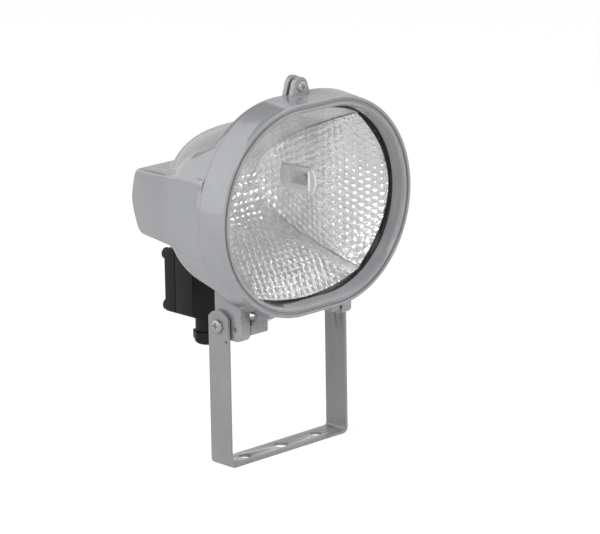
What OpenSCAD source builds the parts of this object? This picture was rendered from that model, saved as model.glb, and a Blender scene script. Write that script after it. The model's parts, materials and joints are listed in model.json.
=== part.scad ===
// Tilting flood lamp for a double-ended tube, on a flat steel cradle.
// Millimetres. +Z is up and the glass faces -Y. The origin is the middle of the cradle's mounting face.
// The cast head is an oval: half circles about two centres, joined by short flats.

/* [Cradle] */
// Outside width of the cradle over its two legs
bracket_w = 145; // [139:1:155]
// Width of the steel strap
strap_w = 25; // [22:1:32]
// Thickness of the steel strap
strap_t = 2.5; // [2:0.5:4]
// Inner radius of the strap's two bends
bend_r = 3; // [1:0.5:6]
// Height of the tilt axis above the mounting face
pivot_h = 128.5; // [126:0.5:160]
// How far a leg's rounded top stands above the tilt axis
leg_over = 13.5; // [11:0.5:16]
// Rise of the arc that rounds the top of a leg
leg_arc = 6.5; // [3:0.5:8]
// Diameter of the two outer fixing holes
fix_d = 10.5; // [6:0.5:12]
// Distance between the two outer fixing holes
fix_spacing = 88; // [70:1:100]
// Diameter of the middle hole
centre_d = 13; // [8:0.5:16]
// Diameter of the small index hole in the left leg
index_d = 2.5; // [2:0.5:4]
// Place of the index hole ahead of the tilt axis
index_ahead = 9.7; // [8:0.1:10]
// Place of the index hole below the tilt axis
index_below = 13.3; // [12:0.1:20]

/* [Tilt fixings] */
// Diameter of the tilt screws
pivot_d = 6; // [5:1:8]
// Diameter of a tilt screw's pan head
pivot_head_d = 12; // [10:0.5:14]
// Height of a tilt screw's pan head
pivot_head_h = 3.8; // [3:0.1:5]
// Diameter of the friction washers
washer_d = 15; // [14:0.5:18]
// Thickness of the friction washers
washer_t = 2; // [1:0.5:3]
// Radial running clearance of screws and pins in their bores
run_gap = 0.08; // [0.03:0.01:0.1]

/* [Head outline] */
// Height of the head's centre above the tilt axis
head_rise = 102; // [100:0.5:112]
// Length of the flats between the half circles
oval_flat = 41; // [30:1:60]
// Radius of the front lip
lip_r = 94; // [92:0.5:96]
// How much the skirt widens from the lip to the joint
skirt_flare = 2.8; // [1:0.1:4]
// Depth of the front frame, from the joint to the lip
frame_depth = 27; // [25:0.5:32]
// Distance of the joint plane ahead of the tilt axis
joint_ahead = 27; // [26:0.5:30]
// Thickness of the cast walls
wall = 3; // [2.5:0.1:4]

/* [Front frame] */
// Width of the flat ring round the opening
ring_w = 9; // [8:0.5:11]
// Radius of the two beads on the ring
bead_r = 1.5; // [1:0.1:1.8]
// Depth of the opening's wall in front of the seal
recess_depth = 14; // [10:0.5:15]
// Thickness of the front glass
glass_t = 5; // [3:0.5:6]
// Thickness of the seal in front of and behind the glass
seal_t = 1; // [0.6:0.1:1.5]
// Width of the glass edge that the seal covers
seal_grip = 4.2; // [3.5:0.1:5]
// Width of the closing tabs at their base
tab_w = 22; // [18:1:28]
// Height of the closing screw above the joint's edge
tab_rise = 6.7; // [6:0.1:9]
// Radius of the closing tabs' rounded tops
tab_r = 8.4; // [7:0.1:10]
// Thickness of the frame's closing tab
tab_t = 5; // [4:0.5:6]
// Gap between the two closing tabs
tab_gap = 3; // [2:0.5:4]
// Diameter of the closing screw
closure_d = 5; // [4:0.5:6]
// Diameter of the closing screw's pan head
closure_head_d = 9.3; // [8:0.1:11]

/* [Housing] */
// Thickness of the flange behind the joint
flange_t = 5; // [4:0.5:7]
// Half height of the dome at the flange
dome_h = 85.3; // [80:0.1:88]
// Half width of the dome at the flange
dome_w = 117; // [112:0.5:118]
// Depth of the dome behind the flange's front face
dome_depth = 101; // [96:1:108]
// Slope of the dome's top and bottom, as fall per depth
dome_slope = 0.325; // [0.28:0.005:0.36]
// Power of the dome's rounded sections, where 2 is an ellipse
dome_power = 2.7; // [2.2:0.1:3.2]
// Inset of the rear barrel's sides from the flange's rim
barrel_inset = 4.5; // [2.5:0.5:10.5]
// Narrowing of the barrel on each side, as share of its depth
barrel_draft = 0.118; // [0.05:0.001:0.15]
// Height of the barrel's top front edge above the head's centre
barrel_top = 38.5; // [34:0.5:42]
// Depth of the barrel's bottom front edge below the head's centre
barrel_bottom = 31; // [28:0.5:36]
// Distance of the barrel's rear-most line behind the tilt axis
barrel_rear = 80; // [78:0.5:88]
// Radius of the barrel's moulded edges
barrel_edge_r = 5; // [3:0.5:7]

/* [Lugs and hinge] */
// Width of a lug from its outer face inwards
lug_w = 11.4; // [10:0.1:14]
// How far a lug reaches ahead of the tilt axis
lug_front = 24; // [23:0.5:25.5]
// How far a lug reaches behind the tilt axis
lug_rear = 9; // [8:0.5:14]
// How far a lug reaches below the tilt axis
lug_below = 12.5; // [11:0.5:14]
// Hinge axis ahead of the tilt axis
hinge_ahead = 17; // [16.5:0.1:17.5]
// Hinge axis below the tilt axis
hinge_below = 1.5; // [1:0.1:2.5]
// Diameter of the hinge pins
hinge_d = 5; // [4:0.5:5.5]
// Length of the long left knuckle
knuckle_long = 20.8; // [14:0.1:24]
// Length of the short right knuckle
knuckle_short = 9.7; // [8:0.1:14]
// Side gap between a lug and its knuckle
knuckle_gap = 1.9; // [0.5:0.1:2.5]

/* [Reflector] */
// Focal measure of the trough: half height squared over depth
trough_k = 46; // [42:1:50]
// Distance of the trough's vertex behind the tilt axis
trough_vertex = 72.5; // [70:0.5:74]
// Half length of the trough at its vertex
trough_half_len = 42.2; // [38:0.5:48]
// Splay of the end plates, as widening per depth
end_splay = 0.226; // [0.15:0.002:0.28]
// Thickness of the reflector sheet
sheet_t = 0.8; // [0.6:0.1:1.2]
// Clearance of the reflector's front edge behind the seal
reflector_gap = 0.8; // [0.4:0.1:2]

/* [Lamp holders] */
// Distance between the holders' faces
holder_span = 104; // [98:0.5:108]
// Length of a holder's straight sides
holder_l = 34.5; // [30:0.5:40]
// Height of a holder
holder_h = 24; // [20:0.5:28]
// Rise of the arcs that round a holder's ends
holder_arc = 5.2; // [3:0.1:7]
// Depth of a holder's body
holder_t = 17.5; // [16:0.5:20]
// Lamp axis behind the tilt axis
lamp_behind = 24; // [20:0.5:28]
// Lamp axis above the head's centre
lamp_rise = 4.5; // [0:0.5:6]
// Travel of the sprung contacts
contact_travel = 2.5; // [1.5:0.1:2.8]
// Diameter of the contact pins
contact_d = 5; // [4:0.5:5.5]

/* [Junction box] */
// Width of the box
box_w = 58; // [50:1:66]
// Height of the box
box_h = 58; // [50:1:62]
// Depth of the box without its cover
box_d = 21.5; // [20:0.5:26]
// Depth of the cover
cover_d = 13; // [10:0.5:18]
// Thickness of the box's walls
box_wall = 2.5; // [2:0.1:3]
// Middle of the box to the left of the head's middle
box_left = 29; // [20:1:34]
// Distance of the box's front face behind the tilt axis
box_behind = 48.5; // [47:0.5:52]
// Depth of the box's mounting pad below the head's centre
pad_below = 49.5; // [48:0.5:52]
// Thickness of each flat gasket
gasket_t = 1; // [0.5:0.1:1.5]
// Outer diameter of the hollow nipple
nipple_d = 12; // [10:0.5:14]
// Bore of the hollow nipple
nipple_bore = 8; // [6:0.5:9]
// Largest cable that the gland takes
cable_d = 10; // [7:0.5:11]
// Width across the flats of the gland nut
gland_af = 24; // [22:0.5:26]

/* [Hidden] */
$fn = 64;

// Overlap that makes joined shapes one solid and lets cuts run past a face
eps = 0.5;

// Cradle and tilt axis
leg_x = bracket_w / 2 - strap_t;
leg_top = pivot_h + leg_over;
leg_round_r = (pow(strap_w / 2, 2) + pow(leg_arc, 2)) / (2 * leg_arc);

// Head outline: f counts forwards from the joint plane between housing and frame
head_z = pivot_h + head_rise;
joint_y = -joint_ahead;
oval_half = oval_flat / 2;
skirt_r = lip_r + skirt_flare;
flange_gap = 0.5;
flange_front_y = joint_y + flange_gap;
flange_r = skirt_r - 0.8;
// Half width of the rear barrel at the flange
barrel_w = oval_half + flange_r - barrel_inset;
opening_r = lip_r - ring_w;
rim_f = frame_depth - bead_r;
web_f = rim_f - 3.2;
inner_r = opening_r - 0.8;
seal_front_f = frame_depth - recess_depth;
glass_front_f = seal_front_f - seal_t;
glass_rear_f = glass_front_f - glass_t;
seal_rear_f = glass_rear_f - seal_t;
seal_in_r = inner_r - 1.9;
glass_r = seal_in_r + seal_grip;
seal_out_r = glass_r + 1.7;
groove_out_r = flange_r - 1.2;
groove_in_r = flange_r - 3.4;
groove_depth = 2;
fit_gap = 0.05;

// Glass clips stand on bosses between the seal and the skirt
clip_boss_r = 2.5;
clip_ring_r = seal_out_r + clip_boss_r + 0.1;
clip_t = 1;
clip_w = 10;
clip_screw_d = 2.5;
// Half circle that a clip lies on, -1 left, 0 flats, 1 right, and its angle round it
CLIP_PLACES = [[0, 90], [0, -90], [1, 38], [1, -38], [-1, 142], [-1, 218]];

// Closing tabs and screw
tab_z = skirt_r + tab_rise;
tab_rear_y = joint_y - 1.5;
tab_front_y = tab_rear_y - tab_t;
catch_y = tab_rear_y + tab_gap;
catch_t = 4.5;
closure_head_h = 2.8;
closure_nut_h = 4;
closure_nut_af = 8;

// Lugs, tilt fixings and hinge
lug_x = leg_x - washer_t;
lug_in_x = lug_x - lug_w;
lug_bottom = pivot_h - lug_below;
lug_edge_r = 6;
hinge_y = -hinge_ahead;
hinge_z = pivot_h - hinge_below;
hinge_boss_r = hinge_d / 2 + 2.5;
knuckle_x = lug_in_x - knuckle_gap;
knuckle_front_y = hinge_y - 5.3;
knuckle_rear_y = hinge_y + 4.7;
knuckle_bottom = hinge_z - 7.5;
knuckle_top = head_z - flange_r - 0.6;
pivot_nut_h = 5;
pivot_nut_af = pivot_d * 10 / 6;
pivot_nut_x = lug_x - wall - pivot_nut_h;

// Dome: shares of its depth at which its sections stand
DOME_STEPS = [0, 0.26, 0.5, 0.75, 0.88, 1];
dome_points = 40;

// Reflector: the trough's half height over its depth is a parabola
reflector_y = joint_y - seal_rear_f + reflector_gap;
rear_room = 7.5;
barrel_back = max(barrel_rear, trough_vertex + rear_room);
trough_h = sqrt(trough_k * (trough_vertex - reflector_y));
trough_bow = (seal_in_r - trough_h) / trough_h;
bow_start_y = trough_vertex - 52;
trough_over = 3;
end_reach = oval_half + seal_in_r - 0.6;
end_seat = 0.9;

// Lamp holders
holder_x = holder_span / 2;
holder_back = holder_x + holder_t;
holder_y = lamp_behind + 5;
lamp_z = head_z + lamp_rise;
holder_z = lamp_z - 2.3;
holder_round_r = (pow(holder_h / 2, 2) + pow(holder_arc, 2)) / (2 * holder_arc);
holder_flange_t = 3.5;
raised_t = 2;
mouth_l = 22;
mouth_h = 11.7;
mouth_depth = 6;
seat_x = holder_x + 1.5;
seat_front_y = holder_y - holder_l / 2 - holder_arc - 1;
seat_rear_y = holder_y + holder_l / 2 + holder_arc + 1;
contact_out = 3;
mouth_floor_x = holder_x + mouth_depth;
spring_room_x = mouth_floor_x + 2;
spring_room_r = contact_d / 2 + 1.4;
collar_t = 1.5;
tail_r = 1.2;
plate_t = 1.5;
post_x = holder_back + 16.5;
post_y = 45;
POST_RISES = [22, -14];
post_r = 4.5;
m4_d = 4;
lead_r = 1.5;
lead_out = 6.5;
lead_under = 4;

// Junction box and its pad on the housing
box_x = -box_left;
pad_z = head_z - pad_below;
pad_t = 5;
pad_front_y = box_behind - 4.5;
recess_half = box_w / 2 + 4;
pad_half = box_w / 2 - 1;
pad_d = box_d + 4;
box_top = pad_z - gasket_t;
box_mid_z = box_top - box_h / 2;
box_bottom = box_top - box_h;
seam_y = box_behind + box_d;
cover_front_y = seam_y + gasket_t;
cover_rear_y = cover_front_y + cover_d;
box_corner_r = 4;
boss_r = 5.5;
cover_boss_h = 4;
cover_screw_d = 3.5;
cover_head_d = 6.5;
nipple_y = box_behind + box_d / 2 + 0.8;
lock_nut_h = 3.5;
nipple_nut_af = nipple_d + 6;
nipple_low_z = box_top - box_wall - lock_nut_h - 1.5;
nipple_high_z = pad_z + pad_t + lock_nut_h + 1.5;
lead_run_z = nipple_high_z + 6.5;
terminal_z = box_mid_z;
terminal_d = 14;
terminal_y = seam_y - 1.5 - terminal_d;

// Cable gland under the junction box
gland_y = nipple_y + 0.7;
gland_r = gland_af / 2 - 1;
collar_h = 5;
neck_h = 13;
thread_h = 6;
gland_seal_r = cable_d / 2 + 2.5;
gland_nut_h = 11;
neck_z = box_bottom - collar_h - neck_h;
gland_nut_z = neck_z - 1 - gland_nut_h;
stem_r = 8;

function arc(c, r, a0, a1, n) =
    [for (i = [0:n]) let (a = a0 + (a1 - a0) * i / n) [c[0] + r * cos(a), c[1] + r * sin(a)]];

function superellipse(w, h) =
    [for (i = [0:dome_points - 1])
        let (a = 360 * i / dome_points, c = cos(a), s = sin(a), e = 2 / dome_power)
        [w * sign(c) * pow(abs(c), e), h * sign(s) * pow(abs(s), e)]];

function unit(v) = v / norm(v);

// Places a shape drawn in the frame's own plane: x across, y up, z forwards of the joint plane
module on_joint() {
    translate([0, joint_y, head_z]) rotate([90, 0, 0]) children();
}

// The oval outline of radius r, as a flat shape
module oval(r) {
    for (s = [-1, 1]) translate([s * oval_half, 0]) circle(r = r, $fn = 128);
    square([oval_flat, 2 * r], center = true);
}

// Carries a profile of [radius, distance forwards] once round the oval
module oval_sweep(profile) {
    for (turn = [0, 180]) rotate([0, 0, turn]) {
        translate([oval_half, 0, 0]) rotate([0, 0, -90])
            rotate_extrude(angle = 180, $fn = 128) polygon(profile);
        translate([-oval_half, 0, 0]) rotate([90, 0, 90]) linear_extrude(oval_flat) polygon(profile);
    }
}

// Rounded rectangle about its middle
module rounded(w, h, r) {
    square([w - 2 * r, h], center = true);
    square([w, h - 2 * r], center = true);
    for (x = [-1, 1], z = [-1, 1])
        translate([x * (w / 2 - r), z * (h / 2 - r)]) circle(r = r, $fn = 32);
}

// Extrudes a flat shape, drawn as x across and z up, from y0 back to y1
module along_y(y0, y1) {
    translate([0, y1, 0]) rotate([90, 0, 0]) linear_extrude(y1 - y0) children();
}

// Extrudes a flat shape, drawn as y across and z up, from x0 to x1
module along_x(x0, x1) {
    translate([x0, 0, 0]) rotate([90, 0, 90]) linear_extrude(x1 - x0) children();
}

// Round bar along X from x0 to x1
module bar_x(x0, x1, r) {
    translate([x0, 0, 0]) rotate([0, 90, 0]) cylinder(r = r, h = x1 - x0);
}

// Round bar along Y from y0 to y1
module bar_y(y0, y1, r) {
    translate([0, y1, 0]) rotate([90, 0, 0]) cylinder(r = r, h = y1 - y0);
}

// Hexagonal nut along Z by its width across flats, with a bore
module nut(af, h, bore_r) {
    difference() {
        cylinder(d = af / cos(30), h = h, $fn = 6);
        translate([0, 0, -eps]) cylinder(r = bore_r, h = h + 2 * eps);
    }
}

// Flat ring along Z
module ring(out_r, in_r, h) {
    difference() {
        cylinder(r = out_r, h = h);
        translate([0, 0, -eps]) cylinder(r = in_r, h = h + 2 * eps);
    }
}

// Pan-head screw: the head's underside at z = 0, the head above it and the shank below
module pan_screw(d, head_d, head_h, l) {
    round_r = head_h * 0.7;
    slot = head_d / 10;
    difference() {
        union() {
            rotate_extrude() polygon(concat([[0, 0], [head_d / 2, 0]],
                arc([head_d / 2 - round_r, head_h - round_r], round_r, 0, 90, 5), [[0, head_h]]));
            translate([0, 0, -l]) cylinder(d = d, h = l + head_h / 2);
        }
        for (a = [0, 90]) rotate([0, 0, a])
            translate([-head_d / 4, -slot / 2, head_h * 0.45]) cube([head_d / 2, slot, head_h]);
    }
}

// Closed skin between two grids of points that lie back to back
module grid_sheet(face, back) {
    rows = len(face);
    cols = len(face[0]);
    function id(side, i, j) = side * rows * cols + i * cols + j;
    function quad(a, b, c, d) = [[a, c, b], [a, d, c]];
    polyhedron(points = concat([for (row = face) each row], [for (row = back) each row]), faces = concat(
        [for (i = [0:rows - 2], j = [0:cols - 2])
            each quad(id(0, i, j), id(0, i, j + 1), id(0, i + 1, j + 1), id(0, i + 1, j))],
        [for (i = [0:rows - 2], j = [0:cols - 2])
            each quad(id(1, i, j), id(1, i + 1, j), id(1, i + 1, j + 1), id(1, i, j + 1))],
        [for (j = [0:cols - 2])
            each quad(id(0, 0, j), id(1, 0, j), id(1, 0, j + 1), id(0, 0, j + 1))],
        [for (j = [0:cols - 2]) let (k = rows - 1)
            each quad(id(0, k, j), id(0, k, j + 1), id(1, k, j + 1), id(1, k, j))],
        [for (i = [0:rows - 2])
            each quad(id(0, i, 0), id(0, i + 1, 0), id(1, i + 1, 0), id(1, i, 0))],
        [for (i = [0:rows - 2]) let (k = cols - 1)
            each quad(id(0, i, k), id(1, i, k), id(1, i + 1, k), id(0, i + 1, k))]));
}

// A grid pushed off its own surface by t, along the cross product of its rows and columns
function pushed(g, t) =
    let (m = len(g) - 1, n = len(g[0]) - 1)
    [for (i = [0:m]) [for (j = [0:n])
        let (du = g[min(i + 1, m)][j] - g[max(i - 1, 0)][j],
            dv = g[i][min(j + 1, n)] - g[i][max(j - 1, 0)])
        g[i][j] + t * unit(cross(du, dv))]];

// Tube of eight sides along a list of points
module tube(path, r) {
    n = 8;
    last = len(path) - 1;
    function way(i) = unit(path[min(i + 1, last)] - path[max(i - 1, 0)]);
    function side(i) = unit(cross(way(i), [0.2, 1, 0.1]));
    function around(i) = let (a = side(i), b = cross(way(i), a))
        [for (k = [0:n - 1]) path[i] + r * (cos(360 * k / n) * a + sin(360 * k / n) * b)];
    polyhedron(points = [for (i = [0:last]) each around(i)], faces = concat(
        [[for (k = [0:n - 1]) k]],
        [for (i = [0:last - 1], k = [0:n - 1]) let (m = (k + 1) % n)
            [i * n + k, (i + 1) * n + k, (i + 1) * n + m, i * n + m]],
        [[for (k = [0:n - 1]) last * n + n - 1 - k]]));
}

// Smooth curve through a list of points, with m steps for each stretch
function smooth(p, m) =
    let (last = len(p) - 1)
    concat([for (i = [0:last - 1], k = [0:m - 1])
        let (t = k / m, a = p[max(i - 1, 0)], b = p[i], c = p[i + 1], d = p[min(i + 2, last)])
        0.5 * (2 * b + (c - a) * t + (2 * a - 5 * b + 4 * c - d) * t * t
            + (3 * b - a - 3 * c + d) * t * t * t)], [p[last]]);

// Flat shape of the cradle from the front: a strap with two rounded bends
module cradle_outline(bend_x, r_out, h) {
    for (s = [-1, 1]) translate([s * bend_x, bend_r + strap_t]) circle(r = r_out);
    translate([-bend_x, bend_r + strap_t - r_out]) square([2 * bend_x, h]);
    translate([-bend_x - r_out, bend_r + strap_t]) square([2 * (bend_x + r_out), h]);
}

// Flat strap bent to a cradle, with rounded leg ends
module bracket() {
    bend_x = leg_x - bend_r;
    color("gainsboro") difference() {
        intersection() {
            along_y(-strap_w / 2, strap_w / 2) difference() {
                cradle_outline(bend_x, bend_r + strap_t, leg_top);
                cradle_outline(bend_x, bend_r, 2 * leg_top);
            }
            along_x(-bracket_w, bracket_w) union() {
                translate([-strap_w / 2, -eps]) square([strap_w, leg_top - leg_arc + eps]);
                intersection() {
                    translate([0, leg_top - leg_round_r]) circle(r = leg_round_r, $fn = 96);
                    translate([-strap_w / 2, leg_top - leg_arc - eps]) square([strap_w, leg_arc + 2 * eps]);
                }
            }
        }
        for (s = [-1, 1])
            translate([s * fix_spacing / 2, 0, -eps]) cylinder(d = fix_d, h = strap_t + 2 * eps);
        translate([0, 0, -eps]) cylinder(d = centre_d, h = strap_t + 2 * eps);
        translate([0, 0, pivot_h]) bar_x(-bracket_w, bracket_w, pivot_d / 2 + run_gap);
        translate([0, -index_ahead, pivot_h - index_below]) bar_x(-bracket_w, -leg_x + eps, index_d / 2);
    }
}

// A point drawn in to the oval of radius r if it lies outside it
function within_oval(p, r) =
    let (c = [max(-oval_half, min(oval_half, p[0])), 0], d = norm(p - c))
    d > r ? c + (p - c) * r / d : p;

// Outline of a dome section at depth y behind the flange's face, drawn in by t
function dome_section(y, t) =
    let (w = dome_w - 0.093 * pow(max(y + flange_front_y, 0), 1.5) - t,
        h = dome_h - dome_slope * y - 10.2 * pow(max(y / dome_depth - 0.75, 0) * 4, 1.5) - t)
    [for (p = superellipse(w, h)) within_oval(p, flange_r - 0.5 - 2 * t)];

// Dome: a loft of rounded sections, drawn in from the outside by t and starting ahead of the flange's face
module dome(t, ahead) {
    hull() for (u = DOME_STEPS) {
        y = u * (dome_depth - t);
        translate([0, flange_front_y + y - (u == 0 ? ahead : 0), head_z]) rotate([90, 0, 0])
            linear_extrude(0.01) polygon(dome_section(y, t));
    }
}

// Side outline of the rear barrel, drawn in by t, as depth behind the flange's face and height
function barrel_outline(t) =
    let (r = barrel_edge_r, front = 1 + 2 * t, rear = barrel_back - flange_front_y - t,
        top = barrel_top - t,
        low = -barrel_bottom + t)
    concat([[front, low], [front, top]], arc([rear - 6 - r, top - 6 - r], r, 85, 20, 4),
        [[rear - 1, 16], [rear, 5], [rear - 1, -6]], arc([rear - 9 - r, low + 5 + r], r, -25, -85, 4));

// Rear barrel: its side outline along X, with drafted ends and slanted edges, drawn in by t
module barrel(t) {
    hull() for (s = [-1, 1], k = [0, 1])
        translate([s * (barrel_w - t - k * barrel_edge_r / 2), flange_front_y, head_z])
            rotate([0, 0, s * atan(barrel_draft)])
                along_x(0, 0.01) polygon(barrel_outline(t + (1 - k) * barrel_edge_r / 2));
}

// Side outline of a lug, inset by t and ending at the height top
module lug_outline(t, top) {
    r = lug_edge_r - t / 2;
    front = -lug_front + t;
    rear = lug_rear - t;
    low = lug_bottom + t;
    translate([front, low + r]) square([rear - front, top - low - r]);
    translate([front + r, low]) square([rear - front - 2 * r, 2 * r]);
    for (y = [front + r, rear - r]) translate([y, low + r]) circle(r = r);
}

// Cast ear that carries the tilt screw, hollow towards the middle, with a boss for the hinge pin
module lug() {
    difference() {
        along_x(lug_in_x, lug_x) lug_outline(0, head_z - dome_h * 0.72);
        along_x(lug_in_x - eps, lug_x - wall) lug_outline(wall, head_z - dome_h + 5);
    }
    translate([0, hinge_y, hinge_z]) bar_x(lug_in_x, lug_x, hinge_boss_r);
}

// Closing tab's outline, as x across and y up from the head's centre
function tab_outline(lift) = concat([[-tab_w / 2, skirt_r - 2.5], [-tab_w / 2, skirt_r]],
    arc([0, tab_z + lift], tab_r, 160, 20, 12), [[tab_w / 2, skirt_r], [tab_w / 2, skirt_r - 2.5]]);

// Everything that the cast body fills, before it is hollowed
module housing_mass() {
    difference() {
        union() {
            dome(0, -1);
            barrel(0);
        }
        translate([box_x - recess_half, pad_front_y, lug_bottom])
            cube([2 * recess_half, barrel_back, pad_z - lug_bottom]);
    }
    translate([box_x - pad_half, box_behind - 1, pad_z]) cube([2 * pad_half, pad_d, pad_t + wall]);
    on_joint() translate([0, 0, -flange_gap - flange_t]) linear_extrude(flange_t) oval(flange_r);
    along_y(catch_y, catch_y + catch_t) translate([0, head_z]) polygon(tab_outline(0.6));
    for (m = [0, 1]) mirror([m, 0, 0]) lug();
}

// The space inside the cast body
module housing_room() {
    difference() {
        union() {
            dome(wall, 1);
            barrel(wall);
        }
        translate([box_x - recess_half - wall, pad_front_y - wall, lug_bottom])
            cube([2 * (recess_half + wall), barrel_back, pad_z + pad_t - lug_bottom]);
    }
}

// Cast body: dome, barrel, flange, lugs, catch and junction box pad in one hollow piece
module housing() {
    color("silver") difference() {
        union() {
            difference() {
                housing_mass();
                housing_room();
            }
            intersection() {
                for (s = [-1, 1], z = POST_RISES)
                    translate([s * post_x, 0, head_z + z]) bar_y(post_y, barrel_back, post_r);
                barrel(1);
            }
        }
        on_joint() translate([0, 0, -flange_gap - groove_depth])
            oval_sweep([[groove_in_r, 0], [groove_out_r, 0], [groove_out_r, 2 * groove_depth],
                [groove_in_r, 2 * groove_depth]]);
        for (s = [-1, 1]) translate([s * (lug_x - lug_w / 2), 0, 0]) {
            translate([0, 0, pivot_h]) bar_x(-lug_w, lug_w, pivot_d / 2 + 0.3);
            translate([0, hinge_y, hinge_z]) bar_x(-lug_w, lug_w, hinge_d / 2 + fit_gap);
            for (z = POST_RISES) translate([s * (post_x - lug_x + lug_w / 2), 0, head_z + z])
                bar_y(post_y - eps, post_y + 10, m4_d / 2 + fit_gap);
        }
        translate([0, 0, head_z + tab_z])
            bar_y(catch_y - eps, catch_y + catch_t + eps, closure_d / 2 + 0.5);
        translate([box_x, nipple_y, pad_z - eps]) cylinder(d = nipple_d + 0.4, h = pad_t + 2 * eps);
        translate([box_x, nipple_y, pad_z + pad_t])
            cylinder(d = nipple_nut_af / cos(30) + 1.6, h = 2 * lock_nut_h);
    }
}

// Section of the front frame: skirt, beaded ring and the wall down to the seal
function frame_profile() = concat([[skirt_r - wall, 0], [skirt_r, 0]],
    arc([lip_r - bead_r, rim_f], bead_r, 0, 180, 8),
    arc([opening_r + bead_r + 0.8, rim_f], bead_r, 0, 180, 8),
    [[opening_r, rim_f - 1.5], [inner_r, seal_front_f], [inner_r + wall, seal_front_f],
    [inner_r + wall, web_f], [skirt_r - wall - skirt_flare * web_f / rim_f, web_f]]);

// Side outline of a hinge knuckle and of the arm that joins it to the skirt
function knuckle_outline() = concat(
    [[joint_y - 6, head_z - skirt_r + 9], [joint_y - 6, head_z - skirt_r + 1],
    [knuckle_front_y, knuckle_top - 5.5]],
    arc([knuckle_front_y + 2, knuckle_bottom + 2], 2, 180, 270, 4),
    arc([knuckle_rear_y - 4, knuckle_bottom + 4], 4, 270, 360, 6),
    arc([knuckle_rear_y - 2, knuckle_top - 2], 2, 0, 90, 4),
    [[joint_y, knuckle_top], [joint_y, head_z - skirt_r + 9]]);

// Repeats its children at each glass clip, with x along the clip's way out from the oval
module at_clips() {
    for (p = CLIP_PLACES) translate([p[0] * oval_half, 0, 0]) rotate([0, 0, p[1]])
        translate([clip_ring_r, 0, 0]) children();
}

// Front frame: beaded ring with its skirt, closing tab, hinge knuckles and bosses for the clips
module front_frame() {
    color("silver") difference() {
        union() {
            on_joint() {
                oval_sweep(frame_profile());
                at_clips() translate([0, 0, seal_rear_f])
                    cylinder(r = clip_boss_r, h = web_f - seal_rear_f + eps);
            }
            along_y(tab_front_y, tab_rear_y) translate([0, head_z]) polygon(tab_outline(0));
            difference() {
                union() {
                    along_x(-knuckle_x, -knuckle_x + knuckle_long) polygon(knuckle_outline());
                    along_x(knuckle_x - knuckle_short, knuckle_x) polygon(knuckle_outline());
                }
                on_joint() translate([0, 0, -eps]) linear_extrude(frame_depth) oval(skirt_r - wall);
            }
        }
        translate([0, hinge_y, hinge_z]) bar_x(-lug_x, lug_x, hinge_d / 2 + run_gap);
        translate([0, 0, head_z + tab_z]) bar_y(tab_front_y - eps, tab_rear_y + eps, closure_d / 2 + 0.3);
        on_joint() at_clips() translate([0, 0, seal_rear_f - eps])
            cylinder(d = clip_screw_d + 2 * fit_gap, h = 8);
    }
}

module front_glass() {
    color("lightcyan", 0.3) on_joint() translate([0, 0, glass_rear_f])
        linear_extrude(glass_t) oval(glass_r);
}

// Channel of rubber round the edge of the glass
module glass_seal() {
    color("black") on_joint() oval_sweep([[seal_in_r, seal_rear_f], [seal_out_r, seal_rear_f],
        [seal_out_r, seal_front_f], [seal_in_r, seal_front_f], [seal_in_r, glass_front_f],
        [glass_r, glass_front_f], [glass_r, glass_rear_f], [seal_in_r, glass_rear_f]]);
}

module glass_clips() {
    color("lightgray") on_joint() at_clips() difference() {
        translate([seal_in_r + 2 - clip_ring_r, -clip_w / 2, seal_rear_f - clip_t])
            cube([clip_ring_r + 1.5 - seal_in_r - 2, clip_w, clip_t]);
        translate([0, 0, seal_rear_f - 2 * clip_t]) cylinder(d = clip_screw_d + 0.4, h = 3 * clip_t);
    }
}

module clip_screws() {
    color("lightgray") on_joint() at_clips() translate([0, 0, seal_rear_f - clip_t]) rotate([180, 0, 0])
        pan_screw(clip_screw_d, 1.8 * clip_screw_d, 1.6, 8);
}

module frame_gasket() {
    color("dimgray") on_joint() translate([0, 0, -flange_gap - groove_depth])
        oval_sweep([[groove_in_r + fit_gap, 0], [groove_out_r - fit_gap, 0],
            [groove_out_r - fit_gap, groove_depth + flange_gap - fit_gap],
            [groove_in_r + fit_gap, groove_depth + flange_gap - fit_gap]]);
}

module hinge_pins() {
    color("gray") translate([0, hinge_y, hinge_z]) {
        bar_x(-lug_x + 0.5, -knuckle_x + knuckle_long, hinge_d / 2);
        bar_x(knuckle_x - knuckle_short, lug_x - 0.5, hinge_d / 2);
    }
}

module closure_screw() {
    color("lightgray") translate([0, tab_front_y, head_z + tab_z]) rotate([90, 0, 0])
        pan_screw(closure_d, closure_head_d, closure_head_h, tab_t + tab_gap + catch_t + closure_nut_h + 2);
}

module closure_nut() {
    color("lightgray") translate([0, catch_y + catch_t, head_z + tab_z]) rotate([-90, 0, 0])
        nut(closure_nut_af, closure_nut_h, closure_d / 2 + run_gap);
}

module pivot_screws() {
    color("lightgray") for (m = [0, 1]) mirror([m, 0, 0])
        translate([leg_x + strap_t, 0, pivot_h]) rotate([0, 90, 0])
            pan_screw(pivot_d, pivot_head_d, pivot_head_h, strap_t + washer_t + wall + pivot_nut_h + 1.5);
}

module pivot_washers() {
    color("dimgray") for (m = [0, 1]) mirror([m, 0, 0]) translate([lug_x, 0, pivot_h]) rotate([0, 90, 0])
        ring(washer_d / 2, pivot_d / 2 + 0.2, washer_t);
}

module pivot_nuts() {
    color("lightgray") for (m = [0, 1]) mirror([m, 0, 0])
        translate([pivot_nut_x, 0, pivot_h]) rotate([0, 90, 0])
            nut(pivot_nut_af, pivot_nut_h, pivot_d / 2 + fit_gap);
}

// Half length of the trough at depth y, along its joint with the end plates
function edge_x(y) = trough_half_len + end_splay * (trough_vertex - y);

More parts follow.
